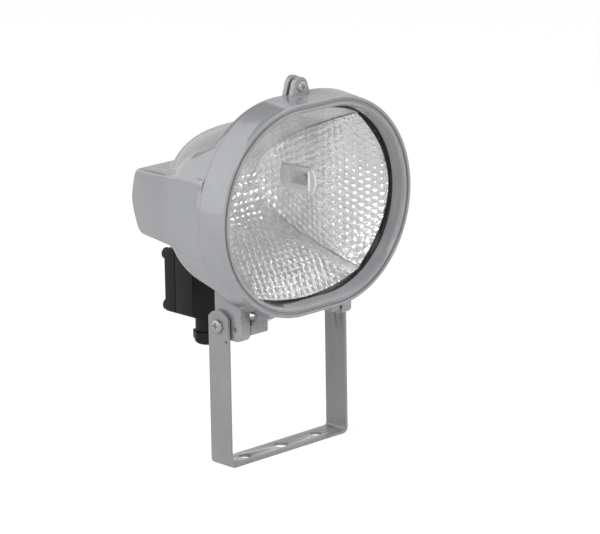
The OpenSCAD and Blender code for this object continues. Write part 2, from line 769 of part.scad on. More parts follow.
// Point of the trough: u runs from its lower edge to its upper one, q from side to side
function trough_point(u, q) =
    let (h = u * trough_h, y = trough_vertex - h * h / trough_k,
        ahead = max(0, bow_start_y - y) / (bow_start_y - reflector_y),
        bow = trough_bow * pow(ahead, 1.5) * max(0, 1 - q * q))
    [q * (edge_x(y) + trough_over), y, head_z + h * (1 + bow)];

// How far the middle of an end plate at depth y stands outside its joint with the trough
function swell(y) =
    y > seat_rear_y
    ? (seat_x - edge_x(seat_rear_y)) * sqrt((trough_vertex - y) / (trough_vertex - seat_rear_y))
    : y > seat_front_y ? seat_x - edge_x(y)
    : let (from = seat_x - edge_x(seat_front_y), to = end_reach - edge_x(reflector_y))
        from + (to - from) * pow((seat_front_y - y) / (seat_front_y - reflector_y), 1.6);

// Point of the right end plate: v runs from the trough's vertex to the front, s from top to bottom
function end_point(v, s) =
    let (h = v * trough_h, y = trough_vertex - h * h / trough_k)
    [edge_x(y) + swell(y) * (1 - s * s), y - end_seat * (1 - v), head_z + s * (h - end_seat)];

// Trough of the reflector: a parabola from front to back that widens towards the glass
module reflector_trough() {
    face = [for (i = [0:24]) [for (j = [0:8]) trough_point(i / 12 - 1, j / 4 - 1)]];
    color("white") grid_sheet(face, pushed(face, sheet_t));
}

// End plate of the reflector, bowed outwards to the oval of the glass, with the holder's cut-out
module reflector_end() {
    face = [for (i = [0:13]) [for (j = [0:12]) end_point(0.05 + 0.95 * i / 13, 1 - j / 6)]];
    color("white") difference() {
        grid_sheet(face, pushed(face, sheet_t));
        along_x(holder_x - 25, holder_back) holder_outline(0.5);
    }
}

module reflector_end_left() {
    mirror([1, 0, 0]) reflector_end();
}

module reflector_end_right() {
    reflector_end();
}

// Outline of a lamp holder's flange, grown by c: a rectangle with bulging ends
module holder_outline(c) {
    r = holder_round_r + c;
    spread = asin((holder_h / 2 + c) / r);
    middle = holder_l / 2 + holder_arc - holder_round_r;
    translate([holder_y, holder_z]) polygon(concat(arc([middle, 0], r, -spread, spread, 8),
        arc([-middle, 0], r, 180 - spread, 180 + spread, 8)));
}

// Ceramic lamp holder with its mouth towards the lamp and a room for the sprung contact
module lampholder() {
    color("whitesmoke") difference() {
        union() {
            along_x(holder_x, holder_x + holder_flange_t) holder_outline(0);
            along_x(holder_x - raised_t, holder_x + eps)
                translate([holder_y - 1, holder_z + 0.5]) rounded(30, 18, 1.5);
            along_x(holder_x + eps, holder_back) translate([holder_y, holder_z]) rounded(30, 19, 2);
        }
        along_x(holder_x - raised_t - eps, mouth_floor_x)
            translate([lamp_behind + 1, lamp_z]) square([mouth_l, mouth_h], center = true);
        translate([0, lamp_behind, lamp_z]) {
            bar_x(holder_x, holder_back, contact_d / 2 + run_gap);
            bar_x(spring_room_x, holder_back + eps, spring_room_r);
        }
    }
}

module lampholder_left() {
    mirror([1, 0, 0]) lampholder();
}

module lampholder_right() {
    lampholder();
}

// Steel angle that carries a lamp holder from two posts of the housing
module holder_bracket() {
    low = head_z + POST_RISES[1] - 7;
    high = head_z + POST_RISES[0] + 7;
    color("lightgray") difference() {
        union() {
            translate([holder_back, holder_y - 20, low]) cube([plate_t, post_y - holder_y + 20, high - low]);
            translate([holder_back, post_y - plate_t, low])
                cube([post_x + 7 - holder_back, plate_t, high - low]);
        }
        translate([0, lamp_behind, lamp_z]) bar_x(holder_back - eps, holder_back + plate_t + eps, lead_r + 1);
        for (z = POST_RISES) translate([post_x, 0, head_z + z])
            bar_y(post_y - plate_t - eps, post_y + eps, m4_d / 2 + 0.2);
    }
}

module holder_bracket_left() {
    mirror([1, 0, 0]) holder_bracket();
}

module holder_bracket_right() {
    holder_bracket();
}

module bracket_screws() {
    color("lightgray") for (s = [-1, 1], z = POST_RISES)
        translate([s * post_x, post_y - plate_t, head_z + z]) rotate([90, 0, 0]) pan_screw(m4_d, 7.5, 2.6, 9);
}

// Sprung contact: a pin with a round tip, a collar and a tail
module contact() {
    tip_x = mouth_floor_x - contact_out;
    collar_x = spring_room_x + 0.2;
    color("goldenrod") translate([0, lamp_behind, lamp_z]) rotate([0, 90, 0]) rotate_extrude() polygon(concat(
        [[0, tip_x]], arc([0, tip_x + contact_d / 2], contact_d / 2, -75, 0, 6),
        [[contact_d / 2, collar_x], [spring_room_r - 0.4, collar_x],
        [spring_room_r - 0.4, collar_x + collar_t], [tail_r, collar_x + collar_t],
        [tail_r, holder_back - contact_travel - 0.5], [0, holder_back - contact_travel - 0.5]]));
}

module contact_left() {
    mirror([1, 0, 0]) contact();
}

module contact_right() {
    contact();
}

// Compression spring behind the contact's collar, as the sleeve that it fills
module contact_spring() {
    from_x = spring_room_x + 0.2 + collar_t + fit_gap;
    color("gray") translate([from_x, lamp_behind, lamp_z]) rotate([0, 90, 0])
        ring(spring_room_r - 0.5, tail_r + 0.5, holder_back - from_x);
}

module contact_spring_left() {
    mirror([1, 0, 0]) contact_spring();
}

module contact_spring_right() {
    contact_spring();
}

// Height z, or less where the trough hangs lower at depth y
function under_trough(y, z) =
    min(z, head_z - sqrt(trough_k * (trough_vertex - y)) - lead_under);

// Sleeved leads from the holders down to the terminals
LEAD_DROP = [[0.1, 0, 0], [lead_out, 0, -1], [lead_out + 3, 2, -13], [lead_out, 10, -29]];
LEAD_LEFT = concat([for (p = LEAD_DROP) [-holder_back - p.x, lamp_behind + p.y, lamp_z + p.z]],
    [[-holder_back + 9.5, nipple_y - 12.05, lead_run_z - 1.5],
    [-holder_back + 23.5, nipple_y - 3.05, under_trough(nipple_y - 3.05, lead_run_z)],
    [box_x - 4, nipple_y, under_trough(nipple_y, lead_run_z)], [box_x - 2, nipple_y, nipple_high_z + 2],
    [box_x - 2, nipple_y, terminal_z + 7.1]]);
LEAD_RIGHT = concat([for (p = LEAD_DROP) [holder_back + p.x, lamp_behind + p.y, lamp_z + p.z]],
    [[holder_back - 9.5, nipple_y - 12.05, lead_run_z - 1.5],
    [holder_back - 25.5, nipple_y - 3.05, under_trough(nipple_y - 3.05, lead_run_z - 0.5)],
    [20, nipple_y + 0.45, under_trough(nipple_y + 0.45, lead_run_z)],
    [0, nipple_y + 0.95, under_trough(nipple_y + 0.95, lead_run_z)],
    [box_x + 5, nipple_y, under_trough(nipple_y, lead_run_z)],
    [box_x + 2, nipple_y, nipple_high_z + 2], [box_x + 2, nipple_y, terminal_z + 7.1]]);

module lead_left() {
    color("white") tube(smooth(LEAD_LEFT, 3), lead_r);
}

module lead_right() {
    color("white") tube(smooth(LEAD_RIGHT, 3), lead_r);
}

// Repeats its children at the junction box's four screws
module at_box_corners() {
    for (x = [-1, 1], z = [-1, 1])
        translate([box_x + x * (box_w / 2 - boss_r), 0, box_mid_z + z * (box_h / 2 - boss_r)]) children();
}

module box_gasket() {
    color("dimgray") difference() {
        translate([box_x - pad_half + 1, box_behind + 1, box_top])
            cube([2 * pad_half - 2, box_d - 2, gasket_t]);
        translate([box_x, nipple_y, box_top - eps]) cylinder(d = nipple_d + 1, h = gasket_t + 2 * eps);
    }
}

// Moulded box under the pad, open at the back
module junction_box() {
    inner_w = box_w - 2 * box_wall;
    inner_h = box_h - 2 * box_wall;
    color("black") difference() {
        union() {
            difference() {
                along_y(box_behind, seam_y) translate([box_x, box_mid_z]) rounded(box_w, box_h, box_corner_r);
                along_y(box_behind + box_wall, seam_y + eps) translate([box_x, box_mid_z])
                    rounded(inner_w, inner_h, box_corner_r - 2);
            }
            at_box_corners() bar_y(box_behind + 1, seam_y, boss_r - 1);
            translate([box_x - 15, box_behind + 1, terminal_z - 4])
                cube([30, terminal_y - box_behind - 1, 8]);
        }
        at_box_corners() bar_y(seam_y - 12, seam_y + eps, cover_screw_d / 2 + fit_gap);
        translate([box_x, nipple_y, box_top - 2 * box_wall]) cylinder(d = nipple_d + 0.4, h = 3 * box_wall);
        translate([box_x, gland_y, box_bottom - box_wall]) cylinder(r = stem_r + 0.2, h = 3 * box_wall);
    }
}

// Shallow lid of the box, with a raised boss round each screw
module box_cover() {
    color("black") difference() {
        union() {
            difference() {
                along_y(cover_front_y, cover_rear_y) translate([box_x, box_mid_z])
                    rounded(box_w, box_h, box_corner_r);
                along_y(cover_front_y - eps, cover_rear_y - box_wall) translate([box_x, box_mid_z])
                    rounded(box_w - 2 * box_wall, box_h - 2 * box_wall, box_corner_r - 2);
            }
            at_box_corners() bar_y(cover_front_y, cover_rear_y + cover_boss_h, boss_r - 0.3);
        }
        at_box_corners() {
            bar_y(cover_front_y - eps, cover_rear_y + cover_boss_h, cover_screw_d / 2 + 0.25);
            bar_y(cover_rear_y + cover_boss_h - 3, cover_rear_y + cover_boss_h + eps,
                cover_head_d / 2 + 0.25);
        }
    }
}

module cover_gasket() {
    color("dimgray") difference() {
        along_y(seam_y, cover_front_y) translate([box_x, box_mid_z]) difference() {
            rounded(box_w - 1, box_h - 1, box_corner_r);
            difference() {
                square([box_w - 2 * box_wall, box_h - 2 * box_wall], center = true);
                for (x = [-1, 1], z = [-1, 1])
                    translate([x * (box_w / 2 - boss_r), z * (box_h / 2 - boss_r)]) circle(r = boss_r);
            }
        }
        at_box_corners() bar_y(seam_y - eps, cover_front_y + eps, cover_screw_d / 2 + 0.25);
    }
}

module cover_screws() {
    color("lightgray") at_box_corners() translate([0, cover_rear_y + cover_boss_h - 3, 0]) rotate([-90, 0, 0])
        pan_screw(cover_screw_d, cover_head_d, 2.4, cover_d + gasket_t + cover_boss_h - 3 + 10);
}

// Ceramic three-way terminal block
module terminal_block() {
    color("whitesmoke") difference() {
        union() {
            translate([box_x - 17, terminal_y, terminal_z - 7]) cube([34, terminal_d - 4, 14]);
            for (x = [-11, 0, 11]) translate([box_x + x - 4.5, terminal_y, terminal_z - 7])
                cube([9, terminal_d, 14]);
        }
        for (x = [-11, 0, 11], z = [-3.5, 3.5]) translate([box_x + x, 0, terminal_z + z])
            bar_y(terminal_y + terminal_d - 5, terminal_y + terminal_d + eps, 2.2);
    }
}

module terminal_screws() {
    color("goldenrod") for (x = [-11, 0, 11], z = [-3.5, 3.5])
        translate([box_x + x, terminal_y + terminal_d - 1.5, terminal_z + z]) rotate([-90, 0, 0])
            translate([0, 0, -3.5]) difference() {
                cylinder(r = 2, h = 3.5);
                translate([-2, -0.4, 2.5]) cube([4, 0.8, 2]);
            }
}

// Hollow nipple that hangs the box from the pad and brings the leads through
module conduit_nipple() {
    color("goldenrod") translate([box_x, nipple_y, nipple_low_z])
        ring(nipple_d / 2, nipple_bore / 2, nipple_high_z - nipple_low_z);
}

module lock_nuts() {
    color("goldenrod") {
        for (z = [box_top - box_wall - lock_nut_h, pad_z + pad_t])
            translate([box_x, nipple_y, z]) nut(nipple_nut_af, lock_nut_h, nipple_d / 2 + fit_gap);
        translate([box_x, gland_y, box_bottom + box_wall]) nut(2 * stem_r + 3, 4, stem_r + fit_gap);
    }
}

module gland_body() {
    color("black") translate([box_x, gland_y, 0]) difference() {
        union() {
            translate([0, 0, box_bottom - collar_h]) cylinder(d = gland_af / cos(30), h = collar_h, $fn = 6);
            translate([0, 0, neck_z]) cylinder(r = gland_r, h = neck_h + eps);
            translate([0, 0, neck_z - thread_h]) cylinder(r = gland_r - 1.8, h = thread_h + eps);
            translate([0, 0, box_bottom - eps]) cylinder(r = stem_r, h = box_wall + 7);
        }
        translate([0, 0, neck_z - thread_h - eps]) cylinder(r = cable_d / 2 + 0.5, h = 60);
        translate([0, 0, neck_z - thread_h - eps]) cylinder(r = gland_seal_r, h = neck_h + thread_h - 3);
    }
}

module gland_seal() {
    color("dimgray") translate([box_x, gland_y, neck_z - thread_h + 0.2])
        ring(gland_seal_r - fit_gap, cable_d / 2, neck_h + thread_h - 4);
}

module gland_nut() {
    top = neck_z - 0.3;
    color("black") translate([box_x, gland_y, 0]) difference() {
        intersection() {
            translate([0, 0, gland_nut_z]) cylinder(d = gland_af / cos(30), h = top - gland_nut_z, $fn = 6);
            translate([0, 0, gland_nut_z]) rotate_extrude() polygon(concat([[0, 0]],
                arc([gland_r - 3, 4], 4, -90, 0, 6), [[gland_af, 8], [gland_af, 20], [0, 20]]));
        }
        translate([0, 0, neck_z - thread_h - 0.3]) cylinder(r = gland_r - 1.8 + fit_gap, h = thread_h + 2);
        translate([0, 0, gland_nut_z - eps]) cylinder(r = cable_d / 2 + 1, h = gland_nut_h);
    }
}

bracket();
housing();
front_frame();
front_glass();
glass_seal();
glass_clips();
clip_screws();
frame_gasket();
hinge_pins();
closure_screw();
closure_nut();
pivot_screws();
pivot_washers();
pivot_nuts();
reflector_trough();
reflector_end_left();
reflector_end_right();
lampholder_left();
lampholder_right();
holder_bracket_left();
holder_bracket_right();
bracket_screws();
contact_left();
contact_right();
contact_spring_left();
contact_spring_right();
lead_left();
lead_right();
box_gasket();
junction_box();
box_cover();
cover_gasket();
cover_screws();
terminal_block();
terminal_screws();
conduit_nipple();
lock_nuts();
gland_body();
gland_seal();
gland_nut();
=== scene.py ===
"""Looks of a tilting floodlight with an oval cast head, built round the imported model.

Shapes are worked out in millimetres and become metres once, when their mesh is made. In the head's own
measures, x runs across, d backwards from the flange's face and h upwards from the head's centre.
"""

import json
import math

import bmesh
import bpy
import numpy as np
from mathutils import Matrix


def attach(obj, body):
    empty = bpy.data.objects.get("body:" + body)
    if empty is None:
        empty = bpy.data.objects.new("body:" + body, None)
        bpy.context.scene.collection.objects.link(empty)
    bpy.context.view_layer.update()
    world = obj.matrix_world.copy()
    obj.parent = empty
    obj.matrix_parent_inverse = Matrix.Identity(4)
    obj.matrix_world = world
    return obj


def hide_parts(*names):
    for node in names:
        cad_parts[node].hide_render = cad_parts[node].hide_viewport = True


bl_info = {
    "name": "Oval Floodlight",
    "version": (1, 0, 0),
    "blender": (4, 5, 0),
    "location": "View3D > Sidebar > Floodlight",
    "description": "Builds the surfaces and finishes of an oval cast floodlight",
    "category": "Add Mesh",
}

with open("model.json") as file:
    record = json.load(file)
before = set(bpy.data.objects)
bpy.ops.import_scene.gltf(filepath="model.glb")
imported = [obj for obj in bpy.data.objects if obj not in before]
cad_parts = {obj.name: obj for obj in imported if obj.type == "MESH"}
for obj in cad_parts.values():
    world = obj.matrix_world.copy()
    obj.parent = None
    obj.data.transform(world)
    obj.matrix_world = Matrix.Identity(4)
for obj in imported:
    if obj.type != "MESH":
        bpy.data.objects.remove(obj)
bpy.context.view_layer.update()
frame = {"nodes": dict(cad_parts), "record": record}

MM = 0.001
JOINTS = {joint["name"]: joint for joint in frame["record"]["behaviour"]["joints"]}

# Driving sizes of the head, as the solids have them: its centre, the plane where front and housing meet, the
# flange's face, half the distance between the oval's two centres, the radii about them, and the ears' faces
HEAD_Z = 230.5
JOINT_Y = -27.0
FLANGE_Y = -26.5
OVAL_HALF = 20.5
SKIRT_R = 96.8
FLANGE_R = 96.0
EAR_X = 68.0
EAR_IN_X = 56.6
WALL = 3.0

# Places that more than one piece takes its own from: pivots, junction box, foot of the tabs and their screw
PIVOT_Z = JOINTS["tilt"]["pos_m"][2] / MM
HINGE_Y, HINGE_Z = (at / MM for at in JOINTS["front_hinge"]["pos_m"][1:])
BOX_X = -29.0
TAB_Z = HEAD_Z + SKIRT_R
SCREW_Z = TAB_Z + 6.7


# Meshes

# Rims of cutting tools and of bars, a bar's sides, and how blunt a corner's mitre is at least; then, for
# copies of CAD nodes, the distance in metres and the angle in degrees within which corners and flats are one
SHARP, ROD_EDGE, ROD_SIDES, LEAST_MITRE = 0.01, 1e-4, 48, 0.6
MERGE_WITHIN, FLAT_WITHIN = 2e-6, 0.6


def arc(cx, cy, r, a0, a1, n):
    """Points on a circle's arc: centre plus radius times cosine and sine of n + 1 even angles in degrees."""
    a = np.radians(np.linspace(a0, a1, n + 1))
    return np.column_stack([cx + r * np.cos(a), cy + r * np.sin(a)])


def quads(rows, cols, wrap_rows=False, wrap_cols=False):
    """Corner numbers of the cells of a grid of rows by cols points, joined round where wrapped."""
    i = np.arange(rows if wrap_rows else rows - 1)[:, None]
    j = np.arange(cols if wrap_cols else cols - 1)[None, :]
    i2, j2 = (i + 1) % rows, (j + 1) % cols
    cells = [i * cols + j, i * cols + j2, i2 * cols + j2, i2 * cols + j]
    return np.stack(np.broadcast_arrays(*cells), -1).reshape(-1, 4)


def outward(verts, faces):
    """Turns all faces round if the volume that they enclose, summed as signed tetrahedra, is negative."""
    total = 0.0
    for f in faces:
        f = np.atleast_2d(np.asarray(f))
        for k in range(1, f.shape[1] - 1):
            total += np.einsum("ij,ij->i", verts[f[:, 0]], np.cross(verts[f[:, k]], verts[f[:, k + 1]])).sum()
    return faces if total > 0 else [np.atleast_2d(np.asarray(f))[:, ::-1] for f in faces]


def placed(name, data):
    """A new object of the scene that shows data, at the origin."""
    obj = bpy.data.objects.new(name, data)
    bpy.context.scene.collection.objects.link(obj)
    return obj


def applied(obj):
    """The mesh that an object has with its modifiers, which are then taken off."""
    bpy.context.view_layer.update()
    made = bpy.data.meshes.new_from_object(obj.evaluated_get(bpy.context.evaluated_depsgraph_get()))
    obj.modifiers.clear()
    return made


def mesh_object(name, verts, faces):
    """An object from points in millimetres and a list of face arrays, with outward faces."""
    faces = outward(verts, faces)
    mesh = bpy.data.meshes.new(name)
    mesh.from_pydata((verts * MM).tolist(), [], [row for f in faces for row in np.atleast_2d(f).tolist()])
    mesh.validate()
    return placed(name, mesh)


def slab(name, outline, low, high, axis, edge, steps=3):
    """A flat outline carried from low to high along an axis, its rims rounded by quarter circles.

    Each ring is the outline moved inwards along its corners' normals by edge times one minus the cosine, and
    along the axis by edge times one minus the sine.
    """
    p = np.asarray(outline, float)
    area = np.sum(p[:, 0] * np.roll(p[:, 1], -1) - np.roll(p[:, 0], -1) * p[:, 1])
    if area < 0:
        p = p[::-1]
    before, after = p - np.roll(p, 1, 0), np.roll(p, -1, 0) - p
    before /= np.linalg.norm(before, axis=1)[:, None]
    after /= np.linalg.norm(after, axis=1)[:, None]
    n = np.column_stack([before[:, 1] + after[:, 1], -before[:, 0] - after[:, 0]])
    n /= np.maximum(np.einsum("ij,ij->i", n, n), LEAST_MITRE)[:, None] / 2
    turn = np.radians(np.linspace(90, 0, steps + 1))
    inset, rise = edge * (1 - np.cos(turn)), edge * (1 - np.sin(turn))
    rings = [(low + r, i) for r, i in zip(rise, inset)]
    rings += [(high - r, i) for r, i in zip(rise[::-1], inset[::-1])]
    layers = []
    for at, i in rings:
        q = p - n * i
        column = np.full(len(p), at)
        layers.append({"x": np.column_stack([column, q]), "y": np.column_stack([q[:, 0], column, q[:, 1]]),
                       "z": np.column_stack([q, column])}[axis])
    m = len(p)
    last = (len(rings) - 1) * m
    caps = [np.arange(m)[::-1], last + np.arange(m)]
    return mesh_object(name, np.vstack(layers), [quads(len(rings), m, wrap_cols=True), *caps])


def rod(name, start, end, r, axis, at):
    """A round bar along an axis, centred on at, the two other coordinates."""
    circle = arc(at[0], at[1], r, 0, 360, ROD_SIDES)[:-1]
    return slab(name, circle, start, end, axis, ROD_EDGE, 1)


def block(name, low, high, edge):
    """A box between two corners with rounded rims round its Y faces."""
    outline = [(low[0], low[2]), (high[0], low[2]), (high[0], high[2]), (low[0], high[2])]
    return slab(name, outline, low[1], high[1], "y", edge)


def combine(base, others, operation):
    """Joins the others to base, or cuts them from it, one after another, and deletes them."""
    for other in others:
        step = base.modifiers.new("step", "BOOLEAN")
        step.operation = operation
        step.object = other
        step.solver = "MANIFOLD"
        made = applied(base)
        if not made.polygons:
            raise RuntimeError(f"{base.name}: nothing is left after {operation} with {other.name}")
        old, base.data = base.data, made
        bpy.data.meshes.remove(old)
        bpy.data.objects.remove(other)


def finished(obj, body, material, nodes, crease=40):
    """Gives a piece its smooth faces, material and body, and hides the CAD nodes that it stands for."""
    mesh = obj.data
    mesh.name = obj.name
    mesh.materials.clear()
    mesh.materials.append(material)
    mesh.shade_smooth()
    mesh.set_sharp_from_angle(angle=math.radians(crease))
    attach(obj, body)
    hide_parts(*nodes)
    return obj


def softened(node, width, material, crease=30):
    """A copy of a CAD node with its loose corners merged, its flats made whole and its edges rounded."""
    record = frame["record"]
    body = next(b for b, members in record["behaviour"]["bodies"].items() if node in members)
    mesh = frame["nodes"][node].data.copy()
    work = bmesh.new()
    work.from_mesh(mesh)
    bmesh.ops.remove_doubles(work, verts=work.verts, dist=MERGE_WITHIN)
    flat = math.radians(FLAT_WITHIN)
    bmesh.ops.dissolve_limit(work, angle_limit=flat, verts=work.verts, edges=work.edges)
    work.to_mesh(mesh)
    work.free()
    if "custom_normal" in mesh.attributes:
        mesh.attributes.remove(mesh.attributes["custom_normal"])
    obj = placed(node + "_finish", mesh)
    bevel = obj.modifiers.new("edges", "BEVEL")
    bevel.width = width * MM
    bevel.segments = 2
    bevel.limit_method = "ANGLE"
    bevel.angle_limit = math.radians(crease)
    bevel.use_clamp_overlap = True
    obj.data = applied(obj)
    return finished(obj, body, material, [node])


# The oval

def oval_way(n_arc=96, n_flat=10):
    """Centre and angle of points round the oval: half circles about two centres, joined by two flats."""
    half = np.linspace(-90, 90, n_arc + 1)
    flat = np.linspace(OVAL_HALF, -OVAL_HALF, n_flat + 1)[1:-1]
    centre = np.concatenate([np.full(n_arc + 1, OVAL_HALF), flat, np.full(n_arc + 1, -OVAL_HALF), -flat])
    angle = np.concatenate([half, np.full(n_flat - 1, 90.0), half + 180, np.full(n_flat - 1, 270.0)])
    return centre, np.radians(angle)


def oval_ring(name, profile, zero_y=JOINT_Y, n_arc=96):
    """A closed profile of radius and distance forwards, carried once round the oval."""
    c, a = oval_way(n_arc)
    r, f = np.asarray(profile, float).T
    x = c[:, None] + np.cos(a)[:, None] * r
    z = HEAD_Z + np.sin(a)[:, None] * r
    y = np.broadcast_to(zero_y - f, x.shape)
    verts = np.stack([x, y, z], -1).reshape(-1, 3)
    return mesh_object(name, verts, [quads(len(c), len(r), True, True)])


def oval_plate(name, r, y0, y1, edge):
    """A solid oval plate of radius r between two depths."""
    c, a = oval_way()
    return slab(name, np.column_stack([c + r * np.cos(a), HEAD_Z + r * np.sin(a)]), y0, y1, "y", edge)


def oval_radius(x, h):
    """Distance of a point from the line that joins the oval's two centres."""
    return np.hypot(np.maximum(np.abs(x) - OVAL_HALF, 0), h)


# Cast housing

# The dome's half width and half height at the flange, its depth and the power of its superellipse; then how
# its sides fall in behind a depth, how its top slopes, and how its crown falls in over the last of its depth
DOME_W, DOME_H, DOME_DEPTH, DOME_POWER = 117.0, 85.3, 101.0, 2.7
SIDE_START, SIDE_FALL, DOME_SLOPE = 26.5, 0.093, 0.325
CROWN_START, CROWN_FALL, FALL_POWER = 0.75, 10.2, 1.5
DOME_INSIDE, DOME_BACK_ROUND = 0.5, 9.0

# The step between dome and barrel: how far inside the barrel's ends the dome is held beside the barrel, how
# much more above it, over what height, and the round between them
STEP_IN, STEP_MORE, STEP_TALL, STEP_ROUND = 0.6, 6.0, 14.0, 3.0

# The barrel's half width, the draft of its ends, its rear, top and bottom, its two rear edges and its rounds,
# then the flare of its corners off the flange, and the fillet between dome and barrel
BARREL_W, BARREL_DRAFT, BARREL_REAR = 112.0, 0.118, 106.5
BARREL_TOP, BARREL_BOTTOM = 38.5, -31.0
EDGE_IN, EDGE_HIGH, EDGE_LOW = 1.0, 16.0, -6.0
ROUND_HIGH, ROUND_LOW, ROUND_END = 5.0, 6.0, 3.6
FLARE_OUT, FLARE_FROM, FLARE_SLOPE, FLARE_COSINE, FLARE_ROUND = 0.1, 1.0, 1.2, 0.64, 1.0
BODY_BLEND = 4.0

# How the body's surface is found: the depth at which the rays swing round, their length, how often each is
# halved, and the first trial that spreads the points evenly
SWING_D, RAY, HALVINGS = 68.0, 150.0, 34
TRIAL_RAYS, TRIAL_STEPS, TRIAL_SHARE = 2000, 420, 0.3

# Ears with their pockets, room and pad for the junction box, catch, gasket groove, and the holders' posts
EAR_FRONT, EAR_REAR, EAR_LOW, EAR_ROUND = -24.0, 9.0, 116.0, 6.0
EAR_TOP, POCKET_TOP = HEAD_Z - 61.4, HEAD_Z - 80.3
ROOM_HALF, ROOM_FRONT, ROOM_REAR, ROOM_LOW = 33.0, 44.0, 100.0, 110.0
PAD_HALF, PAD_FRONT, PAD_REAR, PAD_Z, PAD_TALL = 28.0, 47.5, 73.0, 181.0, 8.0
ENTRY_Y, ENTRY_R, SPOT_R = 60.05, 6.2, 11.2
FLANGE_THICK, CATCH_FRONT, CATCH_REAR, CATCH_LIFT = 5.0, -25.5, -21.0, 0.6
GROOVE_IN, GROOVE_OUT, GROOVE_DEEP = 92.6, 94.8, 2.0
POST_X, POST_HEIGHTS, POST_R, POST_BORE_R = 86.0, (22, -14), 4.5, 2.05
POST_SPAN, POST_BORE_SPAN = (45, 69), (40, 55)
HINGE_BOSS_R, HINGE_BORE_R, PIVOT_BORE_R, SCREW_BORE_R = 5.0, 2.55, 3.3, 3.0
TAB_HALF, TAB_R, TAB_FOOT = 11.0, 8.4, 2.5


def rounded_max(a, b, r):
    """The larger of two distances, rounded off where they are within r of each other."""
    return np.maximum(a, b) + np.maximum(r - np.abs(a - b), 0) ** 2 / (4 * r)


def dome_distance(x, d, h, t):
    """How far a point lies outside the dome, whose sections are superellipses inside the oval.

    A section's half sizes fall off with a power of the depth. Its distance is the point's own from the axis,
    less the same divided by the superellipse's value there. Beside the barrel the dome is held inside the
    barrel's ends.
    """
    w = DOME_W - SIDE_FALL * np.maximum(d - SIDE_START, 0) ** FALL_POWER - t
    crown = np.maximum(d / DOME_DEPTH - CROWN_START, 0) / (1 - CROWN_START)
    tall = DOME_H - DOME_SLOPE * d - CROWN_FALL * crown ** FALL_POWER - t
    g = (np.abs(x) / np.maximum(w, 1)) ** DOME_POWER + (np.abs(h) / np.maximum(tall, 1)) ** DOME_POWER
    g = np.maximum(g, 1e-9) ** (1 / DOME_POWER)
    section = np.hypot(x, h) * (1 - 1 / g)
    around = np.maximum(section, oval_radius(x, h) - (FLANGE_R - DOME_INSIDE - 2 * t))
    step_top = BARREL_TOP + STEP_TALL
    beside = np.clip((step_top - np.abs(h)) / STEP_TALL, 0, 1)
    held = rounded_max(around, end_distance(x, d, t) + STEP_IN + STEP_MORE * (1 - beside), STEP_ROUND)
    return rounded_max(np.where(np.abs(h) < step_top, held, around), d - DOME_DEPTH + t, DOME_BACK_ROUND)


def end_distance(x, d, t):
    """How far a point lies outside the barrel's two drafted ends."""
    return (np.abs(x) - BARREL_W + t + BARREL_DRAFT * d) / math.hypot(1, BARREL_DRAFT)


def barrel_distance(x, d, h, t):
    """How far a point lies outside the rear barrel: six flat sides along X and two drafted ends, all rounded.

    A side is given by its slope, as parts backwards and upwards, and by a point that it passes through. The
    barrel's corners start on the flange's oval and flare out at 50 degrees.
    """
    edge = BARREL_REAR - t - EDGE_IN

    def side(n_d, n_h, at_d, at_h):
        return ((d - at_d) * n_d + (h - at_h) * n_h) / math.hypot(n_d, n_h)

    back = np.maximum(side(11, 1, edge, EDGE_HIGH), side(11, -1, edge, EDGE_LOW))
    back = rounded_max(back, side(13.2, 5.3, edge, EDGE_HIGH), ROUND_HIGH)
    back = rounded_max(back, side(17.1, -8.5, edge, EDGE_LOW), ROUND_LOW)
    shelf = rounded_max(side(0.0625, 1, 0, BARREL_TOP - t), back, ROUND_HIGH)
    outline = rounded_max(shelf, side(0.054, -1, 0, BARREL_BOTTOM + t), ROUND_LOW)
    ended = rounded_max(outline, end_distance(x, d, t), ROUND_END)
    flare = oval_radius(x, h) - (FLANGE_R + FLARE_OUT - t + FLARE_SLOPE * np.maximum(d - FLARE_FROM, 0))
    return rounded_max(ended, flare * FLARE_COSINE, FLARE_ROUND)


def body_distance(x, d, h, t):
    """Dome and barrel blended: the smaller distance, filled in where the two are close."""
    a, b = dome_distance(x, d, h, t), barrel_distance(x, d, h, t)
    return np.minimum(a, b) - np.maximum(BODY_BLEND - np.abs(a - b), 0) ** 2 / (4 * BODY_BLEND)


